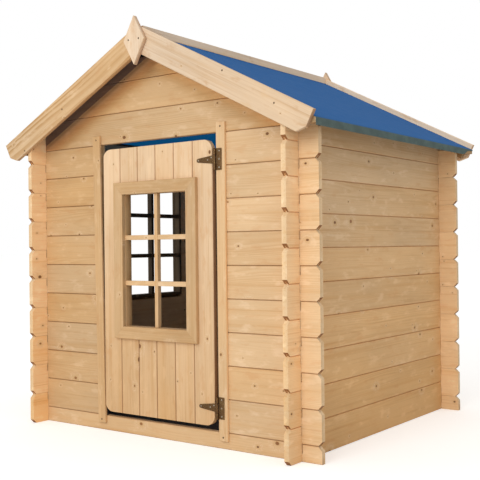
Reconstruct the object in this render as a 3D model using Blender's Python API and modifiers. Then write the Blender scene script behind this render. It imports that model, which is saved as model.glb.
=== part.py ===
"""A children's wooden playhouse: walls of interlocking boards, a boarded door and a tarpaulin roof.

Metres, +Z up. The front faces -Y, and the origin is on the ground in the middle of the house.
The door hangs from two T hinges at its right-hand edge and swings outwards, towards -Y.
"""

import math

import bmesh
import bpy
from mathutils import Matrix, Vector

# Driving dimensions
PITCH = 0.105  # height that one wall board covers
BOARD = 0.017  # thickness of wall boards and door planks
GAP = 0.0003  # between pieces that touch
WALL_X = 0.565  # outer face of the side walls
WALL_Y = 0.508  # outer face of the front and rear walls
LOG_END = 0.069  # how far a board runs on past the wall it crosses
CHAMFER = 0.013  # cut corners of the projecting board ends
V_JOINT = 0.0022  # bevel along a board's outer edges
TONGUE = 0.0055  # thickness and height of the tongue along a board's upper edge
COURSES = 10  # full boards in a side wall; the front and rear walls are half a board out of step

ROOF_SLOPE = math.radians(27.1)
SHEET_APEX = 1.3430  # top of the roof sheet at the ridge
SHEET = 0.0015  # thickness of the roof sheet
EAVE_X = 0.670  # outer face of the turned-down hem
HEM_BOTTOM = 0.9765
RAFTER = 0.015  # thickness of a rafter pair
RAFTER_DEPTH = 0.045
BEAM_WIDTH = 0.036
BEAM_BOTTOM = 1.2820
BARGE = 0.016  # thickness of the bargeboards
BARGE_WIDTH = 0.0803
BARGE_APEX = 1.3634
BARGE_END_X = 0.671
BARGE_CHAMFER = 0.0268
BARGE_Y = 0.594  # outer face of the bargeboards
CAP_TOP = 1.3624
CAP_WIDTH = 0.026
FINIAL_Z, FINIAL_HALF_WIDTH, FINIAL_HALF_HEIGHT = 1.3110, 0.0450, 0.0803

JAMB_LEFT, JAMB_RIGHT = -0.2560, 0.2625
SILL_TOP, LINTEL_BOTTOM = 0.5 * PITCH, 9.5 * PITCH
CASING, CASING_WIDTH = 0.009, 0.034
CASING_BOTTOM, CASING_TOP = 0.026, 1.029
CASING_LEAN = math.radians(0.95)  # the latch-side batten leans towards the door at its foot

DOOR_X = 0.004  # middle of the door
DOOR_BOTTOM, DOOR_TOP = 0.0693, 0.9770
DOOR_CORNER = 0.034
PLANKS = 6
PLANK_WIDTH = 0.0808
LEDGE, LEDGE_HEIGHT, LEDGE_INSET = 0.014, 0.060, 0.022

WINDOW_HALF_WIDTH = 0.1407  # clear opening of the door's window
LINER = 0.012  # frame that lines a window opening
TRIM, TRIM_WIDTH = 0.014, 0.042
BAR_WIDTH, BAR_HEIGHT = 0.014, 0.016
DOOR_WINDOW_Z = (0.3686, 0.8169)
SIDE_WINDOW_Y = 0.067
SIDE_WINDOW_HALF_WIDTH = 0.170
SIDE_LINER_DEPTH, SIDE_BAR_DEPTH = 0.025, 0.0235
SIDE_WINDOW_Z = (0.4410, 0.9310)

HINGE_X = 0.2600
HINGE_BARREL = 0.0040  # outer radius of a knuckle
HINGE_PIN = 0.0015
RUNNING_FIT = 0.0001  # the knuckles turn freely on the pin
HINGE_PLATE = 0.0016
LEAF_WIDTH, LEAF_HEIGHT = 0.026, 0.069
STRAP_LENGTH, STRAP_BASE, STRAP_TIP = 0.075, 0.028, 0.0062
STRAP_KNUCKLE = 0.027
UPPER_HINGE_Z, LOWER_HINGE_Z = 0.9115, 0.1290

# Derived places
SLOPE = math.tan(ROOF_SLOPE)
DOOR_FACE = WALL_Y + CASING + GAP  # the door's outer face is level with the battens'
HINGE_Y = -(DOOR_FACE + GAP + HINGE_BARREL)
RAFTER_OUTER = BARGE_Y - BARGE - GAP
RAFTER_INNER = RAFTER_OUTER - RAFTER
SHEET_UNDER = SHEET_APEX - SHEET / math.cos(ROOF_SLOPE)
SIDE_TOP = SHEET_UNDER - SLOPE * WALL_X - 2 * GAP
STUB_TOP = 9.52 * PITCH  # the top side boards are cut out below the rafters
FAR = 0.05  # how far a cutter reaches past what it cuts

PALE_WOOD = (0.76, 0.55, 0.31)
WARM_WOOD = (0.70, 0.48, 0.25)
DOOR_WOOD = (0.78, 0.58, 0.36)
BRONZE = (0.075, 0.040, 0.022)
TARPAULIN = (0.035, 0.125, 0.330)


def remove_startup_objects():
    for obj in list(bpy.data.objects):
        bpy.data.objects.remove(obj, do_unlink=True)


def new_collection(name):
    collection = bpy.data.collections.new(name)
    bpy.context.scene.collection.children.link(collection)
    return collection


remove_startup_objects()
HOUSE = new_collection("playhouse")
CUTTERS = new_collection("cutters")


def material(name, colour, roughness, metallic=0.0):
    made = bpy.data.materials.new(name)
    made.use_nodes = True
    shader = made.node_tree.nodes["Principled BSDF"]
    shader.inputs["Base Color"].default_value = (*colour, 1.0)
    shader.inputs["Roughness"].default_value = roughness
    shader.inputs["Metallic"].default_value = metallic
    return made


def finish(obj, colour, roughness=0.6, metallic=0.0):
    """Puts a part in the playhouse collection with a material of its own."""
    obj.data.materials.clear()
    obj.data.materials.append(material(obj.name, colour, roughness, metallic))
    HOUSE.objects.link(obj)
    return obj


def flat_mesh(name, outlines, low, high):
    """A mesh with the outlines in its XY plane and straight sides from low to high along Z."""
    curve = bpy.data.curves.new(name, "CURVE")
    curve.dimensions = "2D"
    curve.fill_mode = "BOTH"
    curve.extrude = (high - low) / 2
    for outline in outlines:
        spline = curve.splines.new("POLY")
        spline.points.add(len(outline) - 1)
        for point, (u, v) in zip(spline.points, outline):
            point.co = (u, v, 0.0, 1.0)
        spline.use_cyclic_u = True
    drawn = bpy.data.objects.new(name + "_outline", curve)
    bpy.context.scene.collection.objects.link(drawn)
    graph = bpy.context.evaluated_depsgraph_get()
    mesh = bpy.data.meshes.new_from_object(drawn.evaluated_get(graph))
    bpy.data.objects.remove(drawn)
    bpy.data.curves.remove(curve)
    mesh.name = name
    mesh.transform(Matrix.Translation((0, 0, (low + high) / 2)))
    mesh.shade_flat()
    weld(mesh)
    return mesh


def weld(mesh):
    form = bmesh.new()
    form.from_mesh(mesh)
    bmesh.ops.remove_doubles(form, verts=form.verts, dist=1e-6)
    bmesh.ops.recalc_face_normals(form, faces=form.faces)
    form.to_mesh(mesh)
    form.free()


def axes(x_to, y_to):
    """The rotation that turns local +X and +Y to these directions."""
    x, y = Vector(x_to), Vector(y_to)
    return Matrix((x, y, x.cross(y))).transposed().to_4x4()


UPRIGHT = axes((1, 0, 0), (0, 0, 1))  # an outline drawn in X and Z; its thickness runs along -Y
LYING = axes((0, 1, 0), (0, 0, 1))  # a profile drawn in Y and Z; its length runs along +X


def upright(name, outlines, y_low, y_high):
    """A panel whose outline is in X and Z."""
    mesh = flat_mesh(name, outlines, -y_high, -y_low)
    mesh.transform(UPRIGHT)
    return bpy.data.objects.new(name, mesh)


def cut(obj, name, cutter):
    """Takes a hidden cutter, placed like the part, away from it."""
    cutter.matrix_basis = obj.matrix_basis @ cutter.matrix_basis
    cutter.parent = obj.parent
    cutter.display_type = "WIRE"
    cutter.hide_render = True
    CUTTERS.objects.link(cutter)
    modifier = obj.modifiers.new(name, "BOOLEAN")
    modifier.operation = "DIFFERENCE"
    modifier.object = cutter
    return modifier


def cut_outlines(obj, outlines, y_low=-FAR, y_high=FAR):
    if outlines:
        cut(obj, "cut", upright(obj.name + "_cutter", outlines, y_low, y_high))


def rectangle(x_low, x_high, z_low, z_high):
    return [(x_low, z_low), (x_high, z_low), (x_high, z_high), (x_low, z_high)]


# Wall boards: each is drawn along local X, with its outer face at local Y = 0


def board_profile(z_low, z_high, joints=(), groove=True, tongue=True, thick=BOARD):
    """A tongue-and-groove section. Joints are the V grooves of boards locked into one stack."""
    middle, half = -thick / 2, TONGUE / 2
    wide = half + GAP
    points = [(-thick, z_low)]
    if groove:
        deep = z_low + TONGUE + GAP
        points += [(middle - wide, z_low), (middle - wide, deep)]
        points += [(middle + wide, deep), (middle + wide, z_low)]
    points += [(-V_JOINT, z_low), (0, z_low + V_JOINT)]
    for joint in joints:
        points += [(0, joint - V_JOINT), (-V_JOINT, joint), (0, joint + V_JOINT)]
    points += [(0, z_high - V_JOINT), (-V_JOINT, z_high)]
    if tongue:
        top = z_high + TONGUE
        points += [(middle + half, z_high), (middle + half, top)]
        points += [(middle - half, top), (middle - half, z_high)]
    return points + [(-thick, z_high)]


def board(name, span, profile, placed, cuts, colour=PALE_WOOD):
    """A board between two places along its wall, with outlines in its own X and Z cut out of it."""
    mesh = flat_mesh(name, [profile], *span)
    mesh.transform(LYING)
    obj = bpy.data.objects.new(name, mesh)
    obj.matrix_basis = placed
    cut_outlines(obj, cuts)
    return finish(obj, colour)


def crossing(side, face, z_low, z_high):
    """The notch where a board crosses the wall whose outer face is given."""
    return rectangle(*sorted((side * (face - BOARD - GAP), side * (face + GAP))), z_low, z_high)


def board_end_cuts(side, end, face, z_low, z_high, joints=(), lowest=False, highest=False):
    """Notches and cut corners at one projecting end of a board or stack."""
    notch = PITCH / 4 + GAP / 2
    cuts = [crossing(side, face, joint - notch, joint + notch) for joint in joints]
    cuts += [small_v(side, end, joint) for joint in joints]
    if not lowest:
        cuts.append(crossing(side, face, z_low - FAR / 4, z_low + notch))
        cuts.append(small_corner(side, end, z_low, 1))
    if not highest:
        cuts.append(crossing(side, face, z_high - notch, z_high + FAR / 4))
        cuts.append(small_corner(side, end, z_high, -1))
    return cuts


def small_v(side, end, z):
    out = CHAMFER + 0.004
    return [(side * (end - CHAMFER), z), (side * (end + 0.004), z + out), (side * (end + 0.004), z - out)]


def small_corner(side, end, z, way):
    past = 0.004
    points = [
        (end - CHAMFER - past, z - way * past),
        (end + past, z - way * past),
        (end + past, z + way * (CHAMFER + past)),
    ]
    return [(side * x, height) for x, height in points]


def wall(turn, face):
    """Where a wall stands: local +X runs along it and local +Y points out of the house."""
    return Matrix.Rotation(turn, 4, "Z") @ Matrix.Translation((0, face, 0))


FRONT = wall(math.pi, WALL_Y)
REAR = wall(0.0, WALL_Y)
RIGHT = wall(-math.pi / 2, WALL_X)
LEFT = wall(math.pi / 2, WALL_X)
END_X = WALL_X + LOG_END
END_Y = WALL_Y + LOG_END


def courses(first, last):
    """Heights of the joints between two heights, both given in boards and not counted."""
    count = round(last - first) - 1
    return [(first + 1 + step) * PITCH for step in range(count)]


def stack(name, span, low, high, placed, end, face, ends, **options):
    """Boards between two heights, given in boards; ends lists the sides that run on past the corner."""
    joints = options.pop("joints", courses(low, high))
    extra = options.pop("extra", [])
    lowest, highest = options.pop("lowest", False), options.pop("highest", False)
    z_low, z_high = low * PITCH, high * PITCH - GAP
    cuts = list(extra)
    for side in ends:
        cuts += board_end_cuts(side, end, face, z_low, z_high, joints, lowest, highest)
    profile = board_profile(z_low, z_high, joints, groove=not lowest, **options)
    return board(name, span, profile, placed, cuts)


def side_board(name, course, placed):
    """One full-length board of a side wall."""
    top = course == COURSES - 1
    z_low = course * PITCH
    z_high = SIDE_TOP if top else z_low + PITCH - GAP
    notch = PITCH / 4 + GAP / 2
    cuts = []
    for side in (-1, 1):
        cuts.append(crossing(side, WALL_Y, z_low - FAR / 4, z_low + notch))
        cuts.append(small_corner(side, END_Y, z_low, 1))
        if not top:
            cuts.append(crossing(side, WALL_Y, z_high - notch, z_high + FAR / 4))
            cuts.append(small_corner(side, END_Y, z_high, -1))
            continue
        step, high = z_low + PITCH - PITCH / 4 - GAP / 2, SIDE_TOP + FAR
        cuts.append(crossing(side, WALL_Y, step, high))
        under_rafter = sorted((side * (RAFTER_INNER - GAP), side * (END_Y + FAR)))
        cuts.append(rectangle(*under_rafter, STUB_TOP, high))
    profile = board_profile(z_low, z_high, groove=course > 0, tongue=not top)
    return board(name, (-END_Y, END_Y), profile, placed, cuts, WARM_WOOD)


def under_sheet(x):
    """Height just below the roof sheet at this distance from the middle."""
    return SHEET_UNDER - 2 * GAP - SLOPE * abs(x)


def gable_board(name, low, high, placed, top=None):
    """A board of the gable, cut to the slope of the roof."""
    z_low = low * PITCH
    z_high = top if top else high * PITCH - GAP
    half = WALL_X - 2 * GAP
    near = 0.02
    cuts = []
    for side in (-1, 1):
        slope = [(near, under_sheet(near)), (END_X, under_sheet(END_X)), (END_X, 1.5), (near, 1.5)]
        cuts.append([(side * x, z) for x, z in slope])
        if low < COURSES:
            outline = [
                (WALL_X - BOARD - GAP, z_low - FAR),
                (END_X, z_low - FAR),
                (END_X, z_low + PITCH / 4 + GAP / 2),
                (WALL_X - BOARD - GAP, z_low + PITCH / 4 + GAP / 2),
            ]
            cuts.append([(side * x, z) for x, z in outline])
    profile = board_profile(z_low, z_high, tongue=top is None)
    reach = min(half, (under_sheet(0) - z_low) / SLOPE + V_JOINT)
    return board(name, (-reach, reach), profile, placed, cuts)


def gable(prefix, placed, names):
    low = COURSES - 0.5
    gable_board(prefix + names[0], low, low + 1, placed)
    gable_board(prefix + names[1], low + 1, low + 2, placed)
    gable_board(prefix + names[2], low + 2, low + 3, placed, top=BEAM_BOTTOM - 2 * GAP)


def front_wall():
    low, high = 0.5, COURSES - 0.5
    doorway = rectangle(-JAMB_RIGHT, -JAMB_LEFT, SILL_TOP - GAP, SILL_TOP + FAR)
    stack(
        "front_sill_board", (-END_X, END_X), 0, low, FRONT, END_X, WALL_X, (-1, 1),
        joints=[], lowest=True, extra=[doorway],
    )
    stack("front_left_boards", (-JAMB_LEFT, END_X), low, high, FRONT, END_X, WALL_X, (1,))
    stack("front_right_boards", (-END_X, -JAMB_RIGHT), low, high, FRONT, END_X, WALL_X, (-1,))
    gable("front_", FRONT, ("lintel_board", "gable_board_1", "gable_board_2"))


def rear_wall():
    middle, high = 5.5, COURSES - 0.5
    joints = [(0.5 + step) * PITCH for step in range(5)]
    full = (-END_X, END_X)
    stack("rear_lower_boards", full, 0, middle, REAR, END_X, WALL_X, (-1, 1), joints=joints, lowest=True)
    stack("rear_upper_boards", full, middle, high, REAR, END_X, WALL_X, (-1, 1))
    gable("rear_", REAR, ("gable_board_1", "gable_board_2", "gable_board_3"))


SIDE_OPENING_Y = (
    SIDE_WINDOW_Y - SIDE_WINDOW_HALF_WIDTH - LINER,
    SIDE_WINDOW_Y + SIDE_WINDOW_HALF_WIDTH + LINER,
)
SIDE_OPENING_Z = (4 * PITCH, 9 * PITCH)


def side_walls():
    for course in range(COURSES):
        side_board(f"right_board_{course + 1:02d}", course, RIGHT)
    low, high = 4, 9
    front, rear = SIDE_OPENING_Y
    opening = rectangle(front, rear, low * PITCH - GAP, low * PITCH + FAR)
    full = (-END_Y, END_Y)
    notch = PITCH / 4 + GAP / 2
    foot = [crossing(side, WALL_Y, -FAR / 4, notch) for side in (-1, 1)]
    corners = [small_corner(side, END_Y, 0, 1) for side in (-1, 1)]
    stack(
        "left_lower_boards", full, 0, low, LEFT, END_Y, WALL_Y, (-1, 1),
        lowest=True, extra=[opening] + foot + corners,
    )
    stack("left_front_boards", (-END_Y, front), low, high, LEFT, END_Y, WALL_Y, (-1,))
    stack("left_rear_boards", (rear, END_Y), low, high, LEFT, END_Y, WALL_Y, (1,))
    side_board("left_top_board", COURSES - 1, LEFT)


# Door and windows


def ring(name, clear, outer, y_low, y_high):
    """A rectangular frame between two boxes given as x_low, x_high, z_low, z_high."""
    return upright(name, [rectangle(*outer), rectangle(*clear)], y_low, y_high)


def grown(box, by):
    return (box[0] - by, box[1] + by, box[2] - by, box[3] + by)


def joined(obj, pieces):
    """Unites the pieces with the part, so that they are one body."""
    for piece in pieces:
        piece.display_type = "WIRE"
        piece.hide_render = True
        piece.parent = obj.parent
        piece.matrix_basis = obj.matrix_basis @ piece.matrix_basis
        CUTTERS.objects.link(piece)
        modifier = obj.modifiers.new("join", "BOOLEAN")
        modifier.operation = "UNION"
        modifier.object = piece
    return obj


def window_grid(name, clear, outer, face, depth, bar_depth, placed, parent=None):
    """A liner frame with one upright bar and two level bars, level with the face of the boards."""
    obj = ring(name, clear, outer, -(face - GAP), -(face - depth))
    obj.parent = parent
    obj.matrix_basis = placed
    x_low, x_high, z_low, z_high = clear
    bite = LINER / 2
    bar_y = (-(face - GAP), -(face - bar_depth))
    middle = (x_low + x_high) / 2
    bars = [rectangle(middle - BAR_WIDTH / 2, middle + BAR_WIDTH / 2, z_low - bite, z_high + bite)]
    pane = (z_high - z_low - 2 * BAR_HEIGHT) / 3
    for step in (1, 2):
        bottom = z_low + step * pane + (step - 1) * BAR_HEIGHT
        bars.append(rectangle(x_low - bite, x_high + bite, bottom, bottom + BAR_HEIGHT))
    pieces = [upright(f"{name}_bar_{at}", [bar], *bar_y) for at, bar in enumerate(bars)]
    finish(joined(obj, pieces), DOOR_WOOD)


def door_axis():
    axis = bpy.data.objects.new("door_axis", None)
    axis.location = (HINGE_X, HINGE_Y, 0)
    HOUSE.objects.link(axis)
    return axis


def rounded_corner(x, z, side, way):
    """What is cut off a corner of the door: side and way point out of the door."""
    steps = 8
    centre = (x - side * DOOR_CORNER, z - way * DOOR_CORNER)
    points = [(x + side * FAR / 10, z + way * FAR / 10), (x + side * FAR / 10, centre[1])]
    for step in range(steps + 1):
        turn = math.pi / 2 * step / steps
        out_x, out_z = side * DOOR_CORNER * math.cos(turn), way * DOOR_CORNER * math.sin(turn)
        points.append((centre[0] + out_x, centre[1] + out_z))
    return points + [(centre[0], z + way * FAR / 10)]


def door_planks(axis):
    left = DOOR_X - PLANKS * PLANK_WIDTH / 2
    to_axis = axis.matrix_basis.inverted()
    opening = grown((DOOR_X - WINDOW_HALF_WIDTH, DOOR_X + WINDOW_HALF_WIDTH, *DOOR_WINDOW_Z), LINER)
    for number in range(PLANKS):
        x_low = left + number * PLANK_WIDTH + GAP / 2
        x_high = x_low + PLANK_WIDTH - GAP
        cut_through = opening[0] < x_low and x_high < opening[1]
        spans = {"": (DOOR_BOTTOM, DOOR_TOP)}
        if cut_through:
            spans = {"_upper": (opening[3], DOOR_TOP), "_lower": (DOOR_BOTTOM, opening[2])}
        for part, (z_low, z_high) in spans.items():
            profile = [
                (x_low, -DOOR_FACE + BOARD),
                (x_low, -DOOR_FACE + V_JOINT),
                (x_low + V_JOINT, -DOOR_FACE),
                (x_high - V_JOINT, -DOOR_FACE),
                (x_high, -DOOR_FACE + V_JOINT),
                (x_high, -DOOR_FACE + BOARD),
            ]
            name = f"door_plank_{number + 1}{part}"
            obj = bpy.data.objects.new(name, flat_mesh(name, [profile], z_low, z_high))
            obj.parent = axis
            obj.matrix_basis = to_axis
            cuts = []
            if not cut_through and x_low < opening[1] and opening[0] < x_high:
                cuts.append(rectangle(*opening))
            if number in (0, PLANKS - 1):
                x, side = (x_low, -1) if number == 0 else (x_high, 1)
                cuts += [rounded_corner(x, DOOR_TOP, side, 1), rounded_corner(x, DOOR_BOTTOM, side, -1)]
            cut_outlines(obj, cuts, -DOOR_FACE - FAR, FAR - DOOR_FACE)
            finish(obj, DOOR_WOOD)


def door_ledges(axis):
    half = PLANKS * PLANK_WIDTH / 2 - LEDGE_INSET
    y_low = -DOOR_FACE + BOARD + GAP
    for name, middle in (("door_ledge_upper", UPPER_HINGE_Z), ("door_ledge_lower", LOWER_HINGE_Z)):
        z_low, z_high = middle - LEDGE_HEIGHT / 2, middle + LEDGE_HEIGHT / 2
        outline = rectangle(DOOR_X - half, DOOR_X + half, z_low, z_high)
        obj = upright(name, [outline], y_low, y_low + LEDGE)
        obj.parent = axis
        obj.matrix_basis = axis.matrix_basis.inverted()
        finish(obj, DOOR_WOOD)


def door_window(axis):
    clear = (DOOR_X - WINDOW_HALF_WIDTH, DOOR_X + WINDOW_HALF_WIDTH, *DOOR_WINDOW_Z)
    to_axis = axis.matrix_basis.inverted()
    depth = BOARD + LEDGE
    window_grid("door_window_grid", clear, grown(clear, LINER - GAP), DOOR_FACE, depth, BOARD, to_axis, axis)
    back = -DOOR_FACE - GAP
    trim = ring("door_window_trim", clear, grown(clear, TRIM_WIDTH), back - TRIM, back)
    trim.parent = axis
    trim.matrix_basis = to_axis
    finish(trim, PALE_WOOD)


def side_window():
    """The left wall's window, drawn as if in the front wall and turned to face -X."""
    turned = Matrix.Rotation(-math.pi / 2, 4, "Z")
    middle, half = -SIDE_WINDOW_Y, SIDE_WINDOW_HALF_WIDTH
    clear = (middle - half, middle + half, *SIDE_WINDOW_Z)
    outer = (
        -SIDE_OPENING_Y[1] + GAP, -SIDE_OPENING_Y[0] - GAP,
        SIDE_OPENING_Z[0] + GAP, SIDE_OPENING_Z[1] - 2 * GAP,
    )
    window_grid("left_window_grid", clear, outer, WALL_X, SIDE_LINER_DEPTH, SIDE_BAR_DEPTH, turned)
    trim = ring("left_window_trim", clear, grown(clear, TRIM_WIDTH), -WALL_X - GAP - TRIM, -WALL_X - GAP)
    trim.matrix_basis = turned
    finish(trim, PALE_WOOD)


def door_casings():
    """The battens nailed up either side of the doorway, over the ends of the wall boards."""
    height = CASING_TOP - CASING_BOTTOM
    lean_shift = math.sin(CASING_LEAN) * height / 2
    places = (
        ("door_casing_left", JAMB_LEFT - CASING_WIDTH / 2 - 0.001 + lean_shift, CASING_LEAN),
        ("door_casing_right", JAMB_RIGHT + CASING_WIDTH / 2, 0.0),
    )
    for name, x, lean in places:
        outline = rectangle(-CASING_WIDTH / 2, CASING_WIDTH / 2, -height / 2, height / 2)
        obj = upright(name, [outline], -CASING / 2, CASING / 2)
        obj.location = (x, -WALL_Y - GAP - CASING / 2, (CASING_TOP + CASING_BOTTOM) / 2)
        obj.rotation_euler = (0, -lean, 0)
        bevel = obj.modifiers.new("edges", "BEVEL")
        bevel.width = 0.001
        bevel.segments = 1
        finish(obj, PALE_WOOD)


# Hinges: a leaf on the batten, a tapered strap on the door and a pin between them


def tube(name, radius, z_low, z_high):
    form = bmesh.new()
    middle = Matrix.Translation((0, 0, (z_low + z_high) / 2))
    bmesh.ops.create_cone(
        form,
        cap_ends=True,
        segments=24,
        radius1=radius,
        radius2=radius,
        depth=z_high - z_low,
        matrix=middle,
    )
    mesh = bpy.data.meshes.new(name)
    form.to_mesh(mesh)
    form.free()
    return bpy.data.objects.new(name, mesh)


def knuckled_plate(name, outline, knuckles, placed, parent=None):
    """A flat plate on the outside of the wood with one or two knuckles rolled from its edge."""
    back = HINGE_BARREL
    obj = upright(name, [outline], back - HINGE_PLATE, back)
    obj.parent = parent
    obj.matrix_basis = placed
    side = 1 if outline[1][0] > 0 else -1
    pieces = []
    for at, (z_low, z_high) in enumerate(knuckles):
        pieces.append(tube(f"{name}_knuckle_{at}", HINGE_BARREL, z_low, z_high))
        tab = rectangle(*sorted((side * 0.0005, side * (HINGE_BARREL + 0.003))), z_low, z_high)
        pieces.append(upright(f"{name}_tab_{at}", [tab], back - HINGE_PLATE, back - 0.0001))
    joined(obj, pieces)
    cut(obj, "bore", tube(name + "_bore", HINGE_PIN + RUNNING_FIT, -FAR, FAR))
    finish(obj, BRONZE, roughness=0.45, metallic=0.8)
    return obj


def strap_outline():
    """Tapers from the knuckle to a round tip, towards -X."""
    start, steps = HINGE_BARREL + 0.0012, 8
    tip_x = -STRAP_LENGTH + STRAP_TIP
    points = [(-start, -STRAP_BASE / 2), (-start, STRAP_BASE / 2)]
    for step in range(steps + 1):
        turn = math.pi / 2 + math.pi * step / steps
        points.append((tip_x + STRAP_TIP * math.cos(turn), STRAP_TIP * math.sin(turn)))
    return points


def hinge(name, z, axis):
    half, knuckle = LEAF_HEIGHT / 2, STRAP_KNUCKLE / 2
    placed = Matrix.Translation((HINGE_X, HINGE_Y, z))
    leaf = rectangle(HINGE_BARREL + 0.0012, LEAF_WIDTH, -half, half)
    knuckles = [(-half, -knuckle - GAP), (knuckle + GAP, half)]
    knuckled_plate(name + "_leaf", leaf, knuckles, placed)
    on_door = axis.matrix_basis.inverted() @ placed
    strap = strap_outline()
    knuckled_plate(name + "_strap", strap, [(-knuckle + GAP, knuckle - GAP)], on_door, axis)
    pin = tube(name + "_pin", HINGE_PIN, -half - 0.001, half + 0.001)
    pin.matrix_basis = placed
    pin.data.shade_smooth()
    pin.data.set_sharp_from_angle(angle=math.radians(40))
    finish(pin, BRONZE, roughness=0.45, metallic=0.8)


# Roof


def along_roof(name, outline, y_low, y_high, colour=PALE_WOOD, roughness=0.6):
    return finish(upright(name, [outline], y_low, y_high), colour, roughness)


def roof_frame():
    deep = RAFTER_DEPTH / math.cos(ROOF_SLOPE)
    end = EAVE_X - 0.0225
    pair = [
        (-end, under_sheet(end) - deep), (0, under_sheet(0) - deep), (end, under_sheet(end) - deep),
        (end, under_sheet(end)), (0, under_sheet(0)), (-end, under_sheet(end)),
    ]
    along_roof("front_rafter_pair", pair, -RAFTER_OUTER, -RAFTER_INNER)
    along_roof("rear_rafter_pair", pair, RAFTER_INNER, RAFTER_OUTER)
    half, reach = BEAM_WIDTH / 2, RAFTER_INNER - GAP
    beam = [
        (-half, BEAM_BOTTOM), (half, BEAM_BOTTOM), (half, under_sheet(half)),
        (0, under_sheet(0)), (-half, under_sheet(half)),
    ]
    along_roof("ridge_beam", beam, -reach, reach)
    for name, side in (("left_eave_batten", -1), ("right_eave_batten", 1)):
        inner, outer = side * (EAVE_X - 0.022), side * (EAVE_X - SHEET - 2 * GAP)
        bottom = HEM_BOTTOM + 0.001
        batten = [(inner, bottom), (outer, bottom), (outer, under_sheet(outer)), (inner, under_sheet(inner))]
        along_roof(name, batten, GAP - RAFTER_OUTER, RAFTER_OUTER - GAP)


def roof_sheet():
    """One sheet over the ridge, turned down over both eave battens."""

    def top(x):
        return SHEET_APEX - SLOPE * x

    inner = EAVE_X - SHEET
    thick = SHEET_APEX - SHEET_UNDER
    right_half = [
        (EAVE_X, top(EAVE_X)), (EAVE_X, HEM_BOTTOM), (inner, HEM_BOTTOM), (inner, top(inner) - thick),
    ]
    left_half = [(-x, z) for x, z in reversed(right_half)]
    outline = [(0, SHEET_APEX)] + right_half + [(0, SHEET_UNDER)] + left_half
    along_roof("roof_sheet", outline, GAP - RAFTER_OUTER, RAFTER_OUTER - GAP, TARPAULIN, 0.5)


def ridge_cap():
    half, low = CAP_WIDTH / 2, SHEET_APEX + GAP
    side = low - SLOPE * half
    outline = [(-half, side), (0, low), (half, side), (half, CAP_TOP), (-half, CAP_TOP)]
    along_roof("ridge_cap", outline, GAP - RAFTER_OUTER, RAFTER_OUTER - GAP, WARM_WOOD)


def bargeboards():
    down = Vector((math.cos(ROOF_SLOPE), -math.sin(ROOF_SLOPE)))
    inward = Vector((-math.sin(ROOF_SLOPE), -math.cos(ROOF_SLOPE)))
    start = GAP / 2
    tip = Vector((BARGE_END_X, BARGE_APEX - SLOPE * BARGE_END_X))
    outline = [
        Vector((start, BARGE_APEX - SLOPE * start)),
        tip,
        tip + inward * (BARGE_WIDTH - BARGE_CHAMFER),
        tip + inward * BARGE_WIDTH - down * BARGE_CHAMFER,
        Vector((start, BARGE_APEX - SLOPE * start - BARGE_WIDTH / math.cos(ROOF_SLOPE))),
    ]
    for end, way in (("front", -1), ("rear", 1)):
        y_low, y_high = sorted((way * BARGE_Y, way * (BARGE_Y - BARGE)))
        for hand, side in (("left", -1), ("right", 1)):
            mirrored = [(side * point.x, point.y) for point in outline]
            along_roof(f"{end}_{hand}_bargeboard", mirrored, y_low, y_high)


def finials():
    outline = [
        (0, FINIAL_Z - FINIAL_HALF_HEIGHT), (FINIAL_HALF_WIDTH, FINIAL_Z),
        (0, FINIAL_Z + FINIAL_HALF_HEIGHT), (-FINIAL_HALF_WIDTH, FINIAL_Z),
    ]
    inner = BARGE_Y + GAP
    along_roof("front_finial", outline, -inner - BARGE, -inner)
    along_roof("rear_finial", outline, inner, inner + BARGE)


front_wall()
rear_wall()
side_walls()
door_casings()
side_window()
DOOR_AXIS = door_axis()
door_planks(DOOR_AXIS)
door_ledges(DOOR_AXIS)
door_window(DOOR_AXIS)
hinge("upper_hinge", UPPER_HINGE_Z, DOOR_AXIS)
hinge("lower_hinge", LOWER_HINGE_Z, DOOR_AXIS)
roof_frame()
roof_sheet()
ridge_cap()
bargeboards()
finials()
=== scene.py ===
"""The looks of the wooden playhouse: pine boards, hinges, screws and a stretched roof sheet.

Metres, +Z up, in the frame of the CAD model. The front of the house faces -Y.
"""

import math
import random
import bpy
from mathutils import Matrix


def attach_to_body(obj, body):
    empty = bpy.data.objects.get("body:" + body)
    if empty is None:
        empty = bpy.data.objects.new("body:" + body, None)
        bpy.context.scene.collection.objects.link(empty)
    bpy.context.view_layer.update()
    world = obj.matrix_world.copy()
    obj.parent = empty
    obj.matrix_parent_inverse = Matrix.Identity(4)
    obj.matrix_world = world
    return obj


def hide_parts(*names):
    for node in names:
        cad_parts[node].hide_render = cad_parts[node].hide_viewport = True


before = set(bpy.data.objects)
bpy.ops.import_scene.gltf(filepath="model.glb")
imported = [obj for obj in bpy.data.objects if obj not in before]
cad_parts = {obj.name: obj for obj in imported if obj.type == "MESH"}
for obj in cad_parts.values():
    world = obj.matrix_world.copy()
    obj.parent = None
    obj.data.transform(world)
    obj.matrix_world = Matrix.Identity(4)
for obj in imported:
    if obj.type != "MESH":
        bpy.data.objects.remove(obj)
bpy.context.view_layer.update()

import zlib

import bmesh
import bpy
from mathutils import Matrix, Vector, noise

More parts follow.
